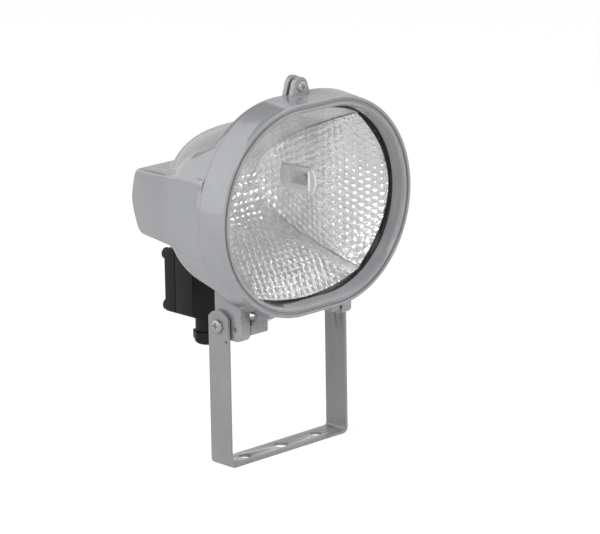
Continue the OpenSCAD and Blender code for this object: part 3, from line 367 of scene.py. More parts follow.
def body_shell(name, t, first_d, n_around, n_deep):
    """The cast body's surface, moved inwards by t and found by halving along rays.

    Each column starts on a ray square to the axis at first_d, runs back to one depth, then swings round to
    the rear. Columns are spread by arc length round the body, and points by arc length along each column.
    """
    def cast(theta, p):
        d0 = first_d + (SWING_D - first_d) * np.clip(p * 2, 0, 1)
        phi = np.clip(p * 2 - 1, 0, 1) * math.pi / 2
        way = [np.cos(theta) * np.cos(phi), np.sin(phi), np.sin(theta) * np.cos(phi)]
        near = np.zeros(np.broadcast(theta, p).shape)
        far = near + RAY
        for _ in range(HALVINGS):
            mid = (near + far) / 2
            inside = body_distance(mid * way[0], d0 + mid * way[1], mid * way[2], t) < 0
            near, far = np.where(inside, mid, near), np.where(inside, far, mid)
        return np.stack([near * way[0], d0 + near * way[1], near * way[2]], -1)

    theta = np.linspace(0, 2 * math.pi, TRIAL_RAYS)
    ring = cast(theta, np.full_like(theta, TRIAL_SHARE))
    length = np.concatenate([[0], np.cumsum(np.linalg.norm(np.diff(ring, axis=0), axis=1))])
    theta = np.interp(np.linspace(0, length[-1], n_around + 1)[:-1], length, theta)
    p = np.linspace(0, 1, TRIAL_STEPS)
    steps = np.linalg.norm(np.diff(cast(theta[:, None], p[None, :]), axis=1), axis=2)
    length = np.concatenate([np.zeros((n_around, 1)), np.cumsum(steps, axis=1)], axis=1)
    share = length / length[:, -1:]
    want = np.linspace(0, 1, n_deep)
    p_even = np.array([np.interp(want, share[k], p) for k in range(n_around)])
    p_even[:, -1] = 1.0
    points = cast(theta[:, None], p_even)
    grid = points[:, :-1].transpose(1, 0, 2).reshape(-1, 3)
    verts = np.vstack([grid, points[:, -1].mean(0)]) + np.array([0, FLANGE_Y, HEAD_Z])
    last = (n_deep - 2) * n_around
    j = np.arange(n_around)
    fan = np.column_stack([last + j, last + (j + 1) % n_around, np.full(n_around, len(grid))])
    return mesh_object(name, verts, [quads(n_deep - 1, n_around, wrap_cols=True), j[::-1], fan])


def across(s, inner, outer):
    """The two ends of a span along X on the side s, in rising order."""
    return sorted((s * inner, s * outer))


def ear_outline(t, top):
    """Side outline of a cast ear, inset by t: straight sides with two rounded lower corners."""
    r = EAR_ROUND - t / 2
    front, rear, low = EAR_FRONT + t, EAR_REAR - t, EAR_LOW + t
    return np.vstack([arc(front + r, low + r, r, 180, 270, 10), arc(rear - r, low + r, r, 270, 360, 10),
                      [[rear, top], [front, top]]])


def ear_parts(s):
    """One ear and its pocket, on the side s."""
    ear = slab("ear", ear_outline(0, EAR_TOP), *across(s, EAR_IN_X, EAR_X), "x", 0.8)
    span = across(s, EAR_IN_X - WALL, EAR_X - WALL)
    return ear, slab("pocket", ear_outline(WALL, POCKET_TOP), *span, "x", SHARP, 1)


def tab_outline(lift):
    """Outline of a closing tab: straight foot on the oval and a round top about the screw."""
    foot = TAB_Z - TAB_FOOT
    return np.vstack([[[TAB_HALF, foot], [TAB_HALF, TAB_Z]], arc(0, SCREW_Z + lift, TAB_R, 20, 160, 28),
                      [[-TAB_HALF, TAB_Z], [-TAB_HALF, foot]]])


def post_places(s):
    """Middles of the two posts that a holder's bracket is screwed to, on the side s."""
    return [(s * POST_X, HEAD_Z + h) for h in POST_HEIGHTS]


def room_block(name, grow, past):
    """Room for the junction box below its pad, grown on its sides and carried past the body elsewhere."""
    low = (BOX_X - ROOM_HALF - grow, ROOM_FRONT - grow, ROOM_LOW - past)
    return block(name, low, (BOX_X + ROOM_HALF + grow, ROOM_REAR + past, PAD_Z + past), SHARP)


def housing_cuts():
    """What is cut from the housing last: gasket groove, screw, pivot, hinge and post holes, and the entry."""
    groove = [(GROOVE_IN, 0), (GROOVE_OUT, 0), (GROOVE_OUT, 2 * GROOVE_DEEP), (GROOVE_IN, 2 * GROOVE_DEEP)]
    cuts = [oval_ring("groove", groove, FLANGE_Y + GROOVE_DEEP),
            rod("hole", CATCH_FRONT - 4.5, CATCH_REAR + 3, SCREW_BORE_R, "y", (0, SCREW_Z))]
    for s in (-1, 1):
        span = across(s, EAR_IN_X - 6.6, EAR_X + 7)
        cuts.append(rod("hole", *span, PIVOT_BORE_R, "x", (0, PIVOT_Z)))
        cuts.append(rod("hole", *span, HINGE_BORE_R, "x", (HINGE_Y, HINGE_Z)))
        cuts += [rod("hole", *POST_BORE_SPAN, POST_BORE_R, "y", at) for at in post_places(s)]
    cuts.append(rod("hole", PAD_Z - 3, PAD_Z + 6, ENTRY_R, "z", (BOX_X, ENTRY_Y)))
    cuts.append(rod("spot", PAD_Z + 5, PAD_Z + 12, SPOT_R, "z", (BOX_X, ENTRY_Y)))
    return cuts


def build_housing(look):
    """Cast housing: the blended body with pad, flange, catch and ears, hollowed to its wall, then drilled."""
    outer = body_shell("housing_cast", t=0.0, first_d=1.0, n_around=420, n_deep=150)
    combine(outer, [room_block("recess", 0, 0)], "DIFFERENCE")
    pad_low, pad_high = (BOX_X - PAD_HALF, PAD_FRONT, PAD_Z), (BOX_X + PAD_HALF, PAD_REAR, PAD_Z + PAD_TALL)
    joins = [block("pad", pad_low, pad_high, 0.8),
             oval_plate("flange", FLANGE_R, FLANGE_Y, FLANGE_Y + FLANGE_THICK, 0.5),
             slab("catch", tab_outline(CATCH_LIFT), CATCH_FRONT, CATCH_REAR, "y", 0.7)]
    ears, pockets = zip(*(ear_parts(s) for s in (-1, 1)))
    combine(outer, [*joins, *ears], "UNION")
    room = body_shell("room", t=WALL, first_d=-3.0, n_around=200, n_deep=80)
    combine(room, [room_block("walls", WALL, 5)], "DIFFERENCE")
    combine(outer, [room, *pockets], "DIFFERENCE")
    hinge = (HINGE_Y, HINGE_Z)
    bosses = [rod("boss", *across(s, EAR_IN_X, EAR_X), HINGE_BOSS_R, "x", hinge) for s in (-1, 1)]
    bosses += [rod("post", *POST_SPAN, POST_R, "y", at) for s in (-1, 1) for at in post_places(s)]
    combine(outer, bosses, "UNION")
    combine(outer, housing_cuts(), "DIFFERENCE")
    return finished(outer, "head", paint("cast enamel", look), ["housing"], 28)


# Front frame

KNUCKLE_SPANS = ((-54.7, -33.9), (45.0, 54.7))
TAB_FRONT, TAB_REAR, TAB_BORE_R = -33.5, -28.5, 2.8
CLIP_R, CLIP_BOSS_R, CLIP_BORE_R = 90.8, 2.5, 1.3
CLIP_BOSS_SPAN, CLIP_BORE_SPAN = (-49.8, -33), (-41, -32)
CLIP_TURNS = ((0, 90), (0, -90), (1, 38), (1, -38), (-1, 142), (-1, 218))
PIN_BORE_R = 2.58


def frame_profile():
    """Section of the front frame: skirt, outer bead, flat ring, inner bead, then the drafted wall inside."""
    skirt = [(93.8, 0), (96.3, 0), (SKIRT_R, 0.5), (96.2, 6), (95.5, 13), (94.7, 19.5)]
    outer_bead = arc(92.5, 25.5, 1.5, -10, 180, 14)
    inner_bead = arc(87.4, 25.2, 1.8, 0, 180, 14)
    wall = [(85.4, 24.6), (85.0, 24.0), (84.6, 19), (84.2, 13.4), (84.6, 13), (87.2, 13), (87.2, 22.3),
            (91.3, 22.3), (92.4, 12)]
    return np.vstack([skirt, outer_bead, [(90.7, 24.7), (89.6, 24.7)], inner_bead, wall])


def knuckle_outline():
    """Side outline of a hinge knuckle and of the arm that joins it to the skirt."""
    edge = HEAD_Z - SKIRT_R
    return np.vstack([[(-33, edge + 9), (-33, edge + 1), (-22.3, 128.4)], arc(-20.3, 121.5, 2, 180, 270, 6),
                      arc(-16.3, 123.5, 4, 270, 360, 10), arc(-14.3, 131.9, 2, 0, 90, 6),
                      [(-27, 133.9), (-27, edge + 9)]])


def clip_place(side, turn):
    """Where a glass clip is screwed: at an angle on a circle about a centre of the oval, or its middle."""
    turn = math.radians(turn)
    return side * OVAL_HALF + CLIP_R * math.cos(turn), HEAD_Z + CLIP_R * math.sin(turn)


def build_front_frame(look):
    """Front frame: the profile carried round the oval, with knuckles, tab and clip bosses, then drilled."""
    ring = oval_ring("front_ring", frame_profile(), JOINT_Y, 128)
    first, second = (slab("knuckle", knuckle_outline(), *span, "x", 0.5) for span in KNUCKLE_SPANS)
    combine(first, [second], "UNION")
    bore = oval_plate("bore", SKIRT_R - WALL, JOINT_Y - 33, JOINT_Y + 0.5, SHARP)
    combine(first, [bore], "DIFFERENCE")
    tab = slab("tab", tab_outline(0), TAB_FRONT, TAB_REAR, "y", 0.8)
    clips = [clip_place(side, turn) for side, turn in CLIP_TURNS]
    bosses = [rod("boss", *CLIP_BOSS_SPAN, CLIP_BOSS_R, "y", at) for at in clips]
    combine(ring, [first, tab, *bosses], "UNION")
    cuts = [rod("hole", *CLIP_BORE_SPAN, CLIP_BORE_R, "y", at) for at in clips]
    cuts += [rod("hole", -EAR_X, EAR_X, PIN_BORE_R, "x", (HINGE_Y, HINGE_Z)),
             rod("hole", TAB_FRONT - 2.5, TAB_REAR + 1.5, TAB_BORE_R, "y", (0, SCREW_Z))]
    combine(ring, cuts, "DIFFERENCE")
    return finished(ring, "front", paint("cast enamel", look), ["front_frame"], 28)


def build_seal():
    """Rubber channel round the glass with a thin lip on each side."""
    section = [(84.0, 12.2), (84.3, 12.9), (88.2, 12.9), (88.2, 6), (84.9, 6), (84.9, 6.9), (86.55, 6.95),
               (86.55, 12.05), (84.0, 12.05)]
    seal = oval_ring("seal", section[::-1])
    return finished(seal, "front", rubber(), ["glass_seal"])


# Reflector

# The trough's parabola: the square of the height, divided by its focal measure, is the depth in front of its
# vertex. Its front edge and its height there; its half length at the vertex and how that grows forwards; how
# far it runs past the end plates; the sheet's thickness, the rim's radius behind the glass, and the bow to it
TROUGH_K, TROUGH_VERTEX, REFLECTOR_Y = 46.0, 72.5, -33.2
TROUGH_H = math.sqrt(TROUGH_K * (TROUGH_VERTEX - REFLECTOR_Y))
TROUGH_HALF, TROUGH_SPREAD, TROUGH_PAST = 42.2, 0.226, 3.0
SHEET, RIM_R = 0.8, 83.4
BOW_START, BOW_POWER = 20.5, 1.5

# Where the trough is dimpled: below its middle but for its ends, and in a band up to a height, all faded out
BAND_TOP, BAND_FADE = 26.0, 8.0
LOWER_START, LOWER_FADE = 2.0, 6.0
PLAIN_END, PLAIN_FADE = 7.0, 10.0

# The end plates: the holder's flat seat, their reach at the glass, the gap to the trough, and their swell
SEAT_X, SEAT_REAR = 53.5, 52.45
END_REACH = OVAL_HALF + RIM_R
END_GAP = 0.2
SWELL_FRONT, SWELL_POWER = 12.0, 1.75

# The dimples: width of the groove between two, how domed they are, their raggedness and the height of a row
CELL_GROOVE, CELL_DOME, CELL_RAGGED, CELL_ROW = 0.36, 0.7, 0.10, 0.87

# The lamp holder's middle, the straight length of its flange, and half height and rise of its bulging ends
HOLDER_Y, HOLDER_Z, HOLDER_LONG, HOLDER_HALF, HOLDER_RISE = 29.0, 232.7, 34.5, 12.0, 5.2


def edge_x(y):
    """Half length of the trough at depth y: that at its vertex, and an even share of the way in front of it."""
    return TROUGH_HALF + TROUGH_SPREAD * (TROUGH_VERTEX - y)


def cells(a, b, pitch_a, pitch_b):
    """Hammered cells on a staggered lattice, ragged a little, with a rounded groove along their outlines.

    The height is one minus a bell curve of how much nearer the nearest lattice point is than the second, less
    a share of the square of the distance to the nearest. Sines of large uneven numbers make the cells ragged.
    """
    best = np.full(np.broadcast(a, b).shape, np.inf)
    second = best.copy()
    row0 = np.floor(b / pitch_b)
    for k in (-1, 0, 1, 2):
        row = row0 + k
        shift = 0.5 * np.mod(row, 2)
        col0 = np.round(a / pitch_a - shift)
        for m in (-1, 0, 1):
            col = col0 + m
            wobble = np.sin(col * 12.9 + row * 78.2) * 43.7
            da = a / pitch_a - (col + shift + CELL_RAGGED * np.sin(wobble))
            db = (b / pitch_b - (row + CELL_RAGGED * np.cos(wobble * 1.7))) * CELL_ROW
            away = da * da + db * db
            second = np.minimum(second, np.maximum(best, away))
            best = np.minimum(best, away)
    return 1 - np.exp(-((second - best) / CELL_GROOVE) ** 2) - CELL_DOME * best


def sheet_piece(name, face, push, thick):
    """A sheet between a grid, raised along its normals by push, and the plain grid moved back by thick."""
    n = np.cross(np.gradient(face, axis=0), np.gradient(face, axis=1))
    n /= np.linalg.norm(n, axis=2)[:, :, None]
    rows, cols = face.shape[:2]
    top = face - n * push[:, :, None]
    verts = np.vstack([top.reshape(-1, 3), (face + n * thick).reshape(-1, 3)])
    one, k = quads(rows, cols), rows * cols
    rim = np.concatenate([np.arange(cols), np.arange(1, rows) * cols + cols - 1,
                          (rows - 1) * cols + np.arange(cols - 2, -1, -1), np.arange(rows - 2, 0, -1) * cols])
    nxt = np.roll(rim, -1)
    wall = np.column_stack([rim, rim + k, nxt + k, nxt])
    return mesh_object(name, verts, [one, one[:, ::-1] + k, wall])


def build_trough(look, sheet_look):
    """Trough of the reflector: a parabola from front to back, bowed out to the oval towards the glass.

    The bow grows with a power of the distance from its start and as one minus the square of the place across.
    """
    heights = np.concatenate([np.linspace(-TROUGH_H, BAND_TOP, 205), np.linspace(BAND_TOP, TROUGH_H, 24)[1:]])
    h, q = heights[:, None], np.linspace(-1, 1, 215)[None, :]
    y = TROUGH_VERTEX - h * h / TROUGH_K
    ahead = np.maximum(0, BOW_START - y) / (BOW_START - REFLECTOR_Y)
    bow = (RIM_R - TROUGH_H) / TROUGH_H * ahead ** BOW_POWER * np.maximum(0, 1 - q * q)
    x = q * (edge_x(y) + TROUGH_PAST)
    face = np.stack([x, np.broadcast_to(y, x.shape), HEAD_Z + h * (1 + bow)], -1)
    path = np.concatenate([[0], np.cumsum(np.hypot(np.diff(heights), np.diff(y[:, 0])))])
    path -= path[np.argmin(np.abs(heights))]
    pitch = look.dimple_pitch / MM
    dots = cells(x, np.broadcast_to(path[:, None], x.shape), pitch * 1.05, pitch * 0.98)
    inside = np.clip((edge_x(y) - np.abs(x) - PLAIN_END) / PLAIN_FADE, 0, 1)
    lower = np.clip((-h - LOWER_START) / LOWER_FADE, 0, 1)
    band = np.clip((BAND_TOP - np.abs(h)) / BAND_FADE, 0, 1)
    push = dots * 1.2 * look.dimple_depth / MM * np.maximum(lower * inside, band)
    piece = sheet_piece("trough_sheet", face, push, SHEET)
    return finished(piece, "head", sheet_look, ["reflector_trough"], 60)


def end_grid(n_v, n_s):
    """Face of the right end plate: flat where the holder seats and swelling out to the oval of the glass.

    Rows follow the trough's edge forwards and columns run down. Across a row the plate stands out from the
    trough's edge by one minus the square of the place in the row.
    """
    v, s = np.linspace(0.05, 1, n_v)[:, None], np.linspace(1, -1, n_s)[None, :]
    h = v * TROUGH_H
    y = TROUGH_VERTEX - h * h / TROUGH_K
    behind = np.maximum(TROUGH_VERTEX - y, 0) / (TROUGH_VERTEX - SEAT_REAR)
    rear = (SEAT_X - edge_x(SEAT_REAR)) * np.sqrt(behind)
    ahead = np.maximum(SWELL_FRONT - y, 0) / (SWELL_FRONT - REFLECTOR_Y)
    front = SEAT_X - edge_x(y) + (END_REACH - SEAT_X) * ahead ** SWELL_POWER
    swell = np.where(y > SEAT_REAR, rear, front)
    x = edge_x(y) + swell * (1 - s * s)
    z = HEAD_Z + s * (h - END_GAP)
    return np.stack([x, np.broadcast_to(y - END_GAP * (1 - v), x.shape), z], -1), np.broadcast_to(s, x.shape)


def holder_outline(c):
    """Outline of a lamp holder's flange grown by c: a rectangle with bulging ends."""
    r = (HOLDER_HALF ** 2 + HOLDER_RISE ** 2) / (2 * HOLDER_RISE)
    spread = math.degrees(math.asin((HOLDER_HALF + c) / (r + c)))
    middle = HOLDER_LONG / 2 + HOLDER_RISE - r
    return np.vstack([arc(HOLDER_Y + middle, HOLDER_Z, r + c, -spread, spread, 16),
                      arc(HOLDER_Y - middle, HOLDER_Z, r + c, 180 - spread, 180 + spread, 16)])


def build_ends(look, sheet_look):
    """The two end plates, dimpled up to their rims and cut out for the lamp holders."""
    for side, hand in ((1, "right"), (-1, "left")):
        face, s = end_grid(n_v=240, n_s=200)
        y, z = face[:, :, 1], face[:, :, 2]
        run = np.hypot(face[:, :, 0] - SEAT_X, y - HOLDER_Y) * np.sign(HOLDER_Y - y)
        pitch = look.dimple_pitch / MM
        dots = cells(z + 0.12 * run, run, pitch, pitch * CELL_ROW)
        rim = np.clip((1 - np.abs(s)) * (np.abs(z - HEAD_Z) + 8) / 2.0, 0, 1)
        piece = sheet_piece("end_plate", face, dots * look.dimple_depth / MM * rim, SHEET)
        opening = slab("opening", holder_outline(0.5), SEAT_X - 26.5, SEAT_X + 16, "x", SHARP)
        combine(piece, [opening], "DIFFERENCE")
        if side < 0:
            mirror(piece)
        piece.name = "end_plate_" + hand
        finished(piece, "head", sheet_look, ["reflector_end_" + hand], 60)


def mirror(piece):
    """Turns a piece to the other hand across the plane x = 0 and keeps its faces outward."""
    co = np.zeros(len(piece.data.vertices) * 3)
    piece.data.vertices.foreach_get("co", co)
    co = co.reshape(-1, 3) * (-1, 1, 1)
    piece.data.vertices.foreach_set("co", co.ravel())
    piece.data.flip_normals()
    piece.data.update()


# Materials

def new_material(name):
    """A material with its node tree and its main shader."""
    material = bpy.data.materials.new(name)
    material.use_nodes = True
    return material, material.node_tree, material.node_tree.nodes["Principled BSDF"]


def add(tree, kind, **values):
    """A node with its properties and input values set."""
    node = tree.nodes.new(kind)
    for key, value in values.items():
        if key in node.inputs:
            node.inputs[key].default_value = value
        else:
            setattr(node, key, value)
    return node


def fill(node, values):
    """Sets a node's inputs, each given by its name or number."""
    for key, value in values.items():
        node.inputs[key].default_value = value


def object_noise(tree, scale, detail=3.0, roughness=0.5):
    """Noise read on Object coordinates, as a value."""
    where = add(tree, "ShaderNodeTexCoord")
    noise = add(tree, "ShaderNodeTexNoise", Scale=scale, Detail=detail, Roughness=roughness)
    tree.links.new(where.outputs["Object"], noise.inputs["Vector"])
    return noise.outputs["Fac"]


def ramp(tree, source, low, high, from_value, to_value):
    """Maps a texture's range low to high onto two values."""
    node = add(tree, "ShaderNodeMapRange")
    fill(node, {"From Min": low, "From Max": high, "To Min": from_value, "To Max": to_value})
    tree.links.new(source, node.inputs["Value"])
    return node.outputs["Result"]


def drift_colour(tree, shader, source, colour, shares, span=(0.3, 0.7)):
    """Lets the base colour drift between two shares of a colour, over a texture's span."""
    node = add(tree, "ShaderNodeMix", data_type="RGBA")
    tree.links.new(ramp(tree, source, *span, 0, 1), node.inputs[0])
    fill(node, {place: (*(min(1, c * share) for c in colour), 1) for place, share in zip((6, 7), shares)})
    tree.links.new(node.outputs[2], shader.inputs["Base Color"])


def drift_roughness(tree, shader, source, rough, shares, span=(0.3, 0.7)):
    """Lets the roughness drift between two shares of a value, over a texture's span."""
    value = ramp(tree, source, *span, *(rough * share for share in shares))
    tree.links.new(value, shader.inputs["Roughness"])


def larger(tree, first, second):
    """The larger of two values of a node tree."""
    node = add(tree, "ShaderNodeMath", operation="MAXIMUM")
    tree.links.new(first, node.inputs[0])
    tree.links.new(second, node.inputs[1])
    return node.outputs[0]


def blended(tree, share, first, second):
    """Two shaders mixed, with a share of the second."""
    node = add(tree, "ShaderNodeMixShader")
    tree.links.new(share, node.inputs[0])
    tree.links.new(first, node.inputs[1])
    tree.links.new(second, node.inputs[2])
    return node.outputs[0]


def bump(tree, shader, source, strength, distance):
    """Lifts the shaded surface by a texture, over a distance in metres."""
    node = add(tree, "ShaderNodeBump", Strength=strength, Distance=distance)
    tree.links.new(source, node.inputs["Height"])
    tree.links.new(node.outputs["Normal"], shader.inputs["Normal"])


def surface(name, colour, metallic, rough, grain, vary=0.06, dent=0.00005, strength=0.3, specular=0.5):
    """A finish whose colour and roughness drift with a broad noise, over a fine grain that lifts it."""
    if name in bpy.data.materials:
        return bpy.data.materials[name]
    material, tree, shader = new_material(name)
    fill(shader, {"Metallic": metallic, "Specular IOR Level": specular})
    broad = object_noise(tree, 38.0)
    drift_colour(tree, shader, broad, colour, (1 - vary, 1 + vary))
    drift_roughness(tree, shader, broad, rough, (0.85, 1.15), (0.25, 0.75))
    bump(tree, shader, object_noise(tree, grain, 2.0), strength, dent)
    return material


def paint(name, look, shade=1.0):
    """Gloss enamel: a drifting grey, fine flakes and the slight ripple of sprayed paint."""
    if name in bpy.data.materials:
        return bpy.data.materials[name]
    material, tree, shader = new_material(name)
    broad = object_noise(tree, 16.0, 4.0)
    flakes = object_noise(tree, 2600.0, 1.0)
    flaked = add(tree, "ShaderNodeMath", operation="MULTIPLY_ADD")
    tree.links.new(flakes, flaked.inputs[0])
    fill(flaked, {1: 0.25})
    tree.links.new(broad, flaked.inputs[2])
    colour = tuple(c * shade for c in look.colour)
    drift_colour(tree, shader, flaked.outputs[0], colour, (0.93, 1.05), (0.4, 0.85))
    drift_roughness(tree, shader, broad, look.roughness, (0.9, 1.15))
    fill(shader, {"Metallic": look.metallic, "Coat Weight": 0.5, "Coat Roughness": 0.05})
    bump(tree, shader, object_noise(tree, 420.0, 2.0), look.ripple, 0.0002)
    return material


def bright_sheet(name, look, shade):
    """Bright anodised sheet with faint clouding and a fine grain; a shade below one darkens its colour as
    painted shade.
    """
    material, tree, shader = new_material(name)
    fill(shader, {"Metallic": look.sheet_metallic})
    broad = object_noise(tree, 60.0, 3.0)
    drift_colour(tree, shader, broad, tuple(c * shade for c in look.sheet_colour), (0.94, 1.04))
    drift_roughness(tree, shader, broad, look.sheet_roughness, (0.8, 1.25))
    bump(tree, shader, object_noise(tree, 900.0, 2.0), 0.12, 0.0001)
    return material


def clear_glass():
    """Clear glass that bends what is seen through it, and lets lamplight through unbent."""
    material, tree, _ = new_material("clear toughened glass")
    nodes = tree.nodes
    nodes.remove(nodes["Principled BSDF"])
    bend = add(tree, "ShaderNodeBsdfGlass", Color=(0.985, 0.985, 0.985, 1), Roughness=0.0, IOR=1.48)
    through = add(tree, "ShaderNodeBsdfTransparent", Color=(0.965, 0.965, 0.965, 1))
    way = add(tree, "ShaderNodeLightPath")
    plain = larger(tree, way.outputs["Is Shadow Ray"], way.outputs["Is Diffuse Ray"])
    both = blended(tree, plain, bend.outputs[0], through.outputs[0])
    tree.links.new(both, nodes["Material Output"].inputs["Surface"])
    return material


def rubber():
    """Matt black rubber of seals and gaskets."""
    return surface("black rubber", (0.012, 0.012, 0.012), 0, 0.5, 900.0)


def plated():
    """Zinc plate of screws, nuts, clips and brackets."""
    return surface("zinc plate", (0.60, 0.60, 0.59), 1, 0.27, 700.0, 0.08, 0.00004, 0.3)


def dress(node, material):
    """Gives a CAD node that stays as it is a better finish."""
    places = frame["nodes"][node].material_slots
    if not places:
        raise RuntimeError(f"{node} has no slot for {material.name}")
    for place in places:
        place.material = material


# Settings

class FloodPaintLook(bpy.types.PropertyGroup):
    """Enamel of the cast parts and the cradle."""
    colour: bpy.props.FloatVectorProperty(
        name="Colour", description="Colour of the enamel", subtype="COLOR", size=3, min=0, max=1,
        default=(0.37, 0.375, 0.385))
    roughness: bpy.props.FloatProperty(
        name="Roughness", description="Roughness of the enamel", subtype="FACTOR", min=0.02, max=1,
        default=0.15)
    metallic: bpy.props.FloatProperty(
        name="Metallic", description="Share of metal flake in the enamel", subtype="FACTOR", min=0, max=1,
        default=0.35)
    ripple: bpy.props.FloatProperty(
        name="Ripple", description="Strength of the sprayed ripple", subtype="FACTOR", min=0, max=1,
        default=0.12)


class FloodReflectorLook(bpy.types.PropertyGroup):
    """Dimples and sheet of the reflector."""
    dimple_pitch: bpy.props.FloatProperty(
        name="Dimple pitch", description="Distance between dimples", unit="LENGTH", precision=4,
        min=0.004, max=0.012, default=0.0066)
    dimple_depth: bpy.props.FloatProperty(
        name="Dimple depth", description="Height of a dimple above its rim", unit="LENGTH", precision=5,
        min=0, max=0.001, default=0.0009)
    sheet_colour: bpy.props.FloatVectorProperty(
        name="Sheet colour", description="Colour of the bright sheet", subtype="COLOR", size=3, min=0, max=1,
        default=(0.94, 0.945, 0.945))
    sheet_roughness: bpy.props.FloatProperty(
        name="Sheet roughness", description="Roughness of the bright sheet", subtype="FACTOR",
        min=0.01, max=1, default=0.19)
    sheet_metallic: bpy.props.FloatProperty(
        name="Sheet metallic", description="Mirror share of the sheet", subtype="FACTOR", min=0, max=1,
        default=0.84)


class FloodStageLook(bpy.types.PropertyGroup):
    """Camera, floor and light from all round."""
    focal_length: bpy.props.FloatProperty(
        name="Focal length", description="Focal length of the camera", unit="CAMERA", min=20, max=400,
        default=210.0)
    floor_colour: bpy.props.FloatVectorProperty(
        name="Floor colour", description="Colour of the floor", subtype="COLOR", size=3, min=0, max=1,
        default=(0.9, 0.9, 0.9))
    world_strength: bpy.props.FloatProperty(
        name="World strength", description="Light from all round", min=0, max=2, default=0.23)


# Operators

class FLOOD_OT_housing(bpy.types.Operator):
    """Cast housing with its dome, barrel, ears and catch"""
    bl_idname = "flood.housing"
    bl_label = "Cast housing"

    def execute(self, context):
        build_housing(context.scene.flood_paint)
        return {"FINISHED"}


class FLOOD_OT_front(bpy.types.Operator):
    """Front frame with its beads, tab and knuckles, and the glass with its seal"""
    bl_idname = "flood.front"
    bl_label = "Front frame and glass"

    def execute(self, context):
        build_front_frame(context.scene.flood_paint)
        dress("front_glass", clear_glass())
        build_seal()
        return {"FINISHED"}


class FLOOD_OT_reflector(bpy.types.Operator):
    """Dimpled trough and end plates"""
    bl_idname = "flood.reflector"
    bl_label = "Reflector"

    def execute(self, context):
        look = context.scene.flood_reflector
        # The trough's copy of the sheet is darkened to 0.82 as painted shade: trough and end plates are the
        # same sheet.
        build_trough(look, bright_sheet("trough sheet", look, 0.82))
        build_ends(look, bright_sheet("end sheet", look, 1.0))
        return {"FINISHED"}


class FLOOD_OT_holders(bpy.types.Operator):
    """Ceramic lamp holders with their brackets, contacts, springs and leads"""
    bl_idname = "flood.holders"
    bl_label = "Lamp holders"

    def execute(self, context):
        ceramic = surface("steatite", (0.92, 0.92, 0.91), 0, 0.42, 1500.0, 0.05, 0.00008, 0.35)
        sleeve = surface("woven sleeve", (0.72, 0.70, 0.63), 0, 0.8, 2400.0, 0.12, 0.0002, 0.8)
        contact = surface("bright contact", (0.72, 0.70, 0.62), 1, 0.2, 800.0)
        for side in ("left", "right"):
            softened("lampholder_" + side, 0.7, ceramic)
            softened("holder_bracket_" + side, 0.2, plated())
            dress("contact_" + side, contact)
            dress("contact_spring_" + side, plated())
            dress("lead_" + side, sleeve)
        dress("bracket_screws", plated())
        return {"FINISHED"}


class FLOOD_OT_cradle(bpy.types.Operator):
    """Flat steel cradle"""
    bl_idname = "flood.cradle"
    bl_label = "Cradle"

    def execute(self, context):
        softened("bracket", 0.45, paint("cradle enamel", context.scene.flood_paint, 0.84))
        return {"FINISHED"}


class FLOOD_OT_fixings(bpy.types.Operator):
    """Screws, nuts, washers, pins and gaskets of head and cradle"""
    bl_idname = "flood.fixings"
    bl_label = "Fixings"

    def execute(self, context):
        for node in ("pivot_screws", "closure_screw"):
            softened(node, 0.18, plated())
        for node in ("pivot_nuts", "closure_nut", "hinge_pins", "glass_clips", "clip_screws"):
            dress(node, plated())
        grey = surface("grey rubber", (0.09, 0.09, 0.09), 0, 0.6, 900.0)
        for node in ("pivot_washers", "frame_gasket"):
            dress(node, grey)
        return {"FINISHED"}


class FLOOD_OT_supply(bpy.types.Operator):
    """Junction box with its lid, screws, terminals, nipple and gland"""
    bl_idname = "flood.supply"
    bl_label = "Junction box and gland"

    def execute(self, context):
        plastic = surface("black moulding", (0.010, 0.0095, 0.010), 0, 0.5, 1100.0, 0.15, 0.00012, 0.5, 0.3)
        brass = surface("brass", (0.62, 0.47, 0.22), 1, 0.28, 700.0)
        ceramic = surface("terminal ceramic", (0.62, 0.61, 0.58), 0, 0.5, 1500.0)
        for node in ("junction_box", "box_cover"):
            softened(node, 0.8, plastic)
        for node in ("gland_body", "gland_nut"):
            softened(node, 0.4, plastic)
        for node in ("cover_gasket", "gland_seal", "box_gasket"):
            dress(node, rubber())
        dress("cover_screws", plated())
        dress("terminal_block", ceramic)
        for node in ("terminal_screws", "conduit_nipple", "lock_nuts"):
            dress(node, brass)
        return {"FINISHED"}


class FLOOD_OT_stage(bpy.types.Operator):
    """Camera, pale floor, white surround and soft lamps"""
    bl_idname = "flood.stage"
    bl_label = "Stage"

    def execute(self, context):
        build_stage(context.scene, context.scene.flood_stage)
        return {"FINISHED"}


class FLOOD_PT_builder(bpy.types.Panel):
    """Lists the floodlight's pieces and finishes"""
    bl_label = "Floodlight"
    bl_idname = "FLOOD_PT_builder"
    bl_space_type = "VIEW_3D"
    bl_region_type = "UI"
    bl_category = "Floodlight"

    def draw(self, context):
        column = self.layout.column(align=True)
        for group in (context.scene.flood_paint, context.scene.flood_reflector, context.scene.flood_stage):
            for key in group.__annotations__:
                column.prop(group, key)
        for operator in OPERATORS:
            column.operator(operator.bl_idname)


OPERATORS = (FLOOD_OT_housing, FLOOD_OT_front, FLOOD_OT_reflector, FLOOD_OT_holders, FLOOD_OT_cradle,
             FLOOD_OT_fixings, FLOOD_OT_supply, FLOOD_OT_stage)
GROUPS = {"flood_paint": FloodPaintLook, "flood_reflector": FloodReflectorLook, "flood_stage": FloodStageLook}


# Stage, in metres

CAMERA_PLACE = (-2.0584, -2.1475, 0.9725)
CAMERA_AZIMUTH, CAMERA_ELEVATION, CAMERA_ROLL = -44.17, 15.16, -0.92
SENSOR_WIDTH, CLIP_END = 36.0, 50.0
FLOOR_REACH, FLOOR_Z, FLOOR_ROUGH = 6.0, -0.0006, 0.9
FLOOR_GLOW, FLOOR_IN_GLOSS, FLOOR_GLOW_SHARE = 1.12, 0.55, 0.8

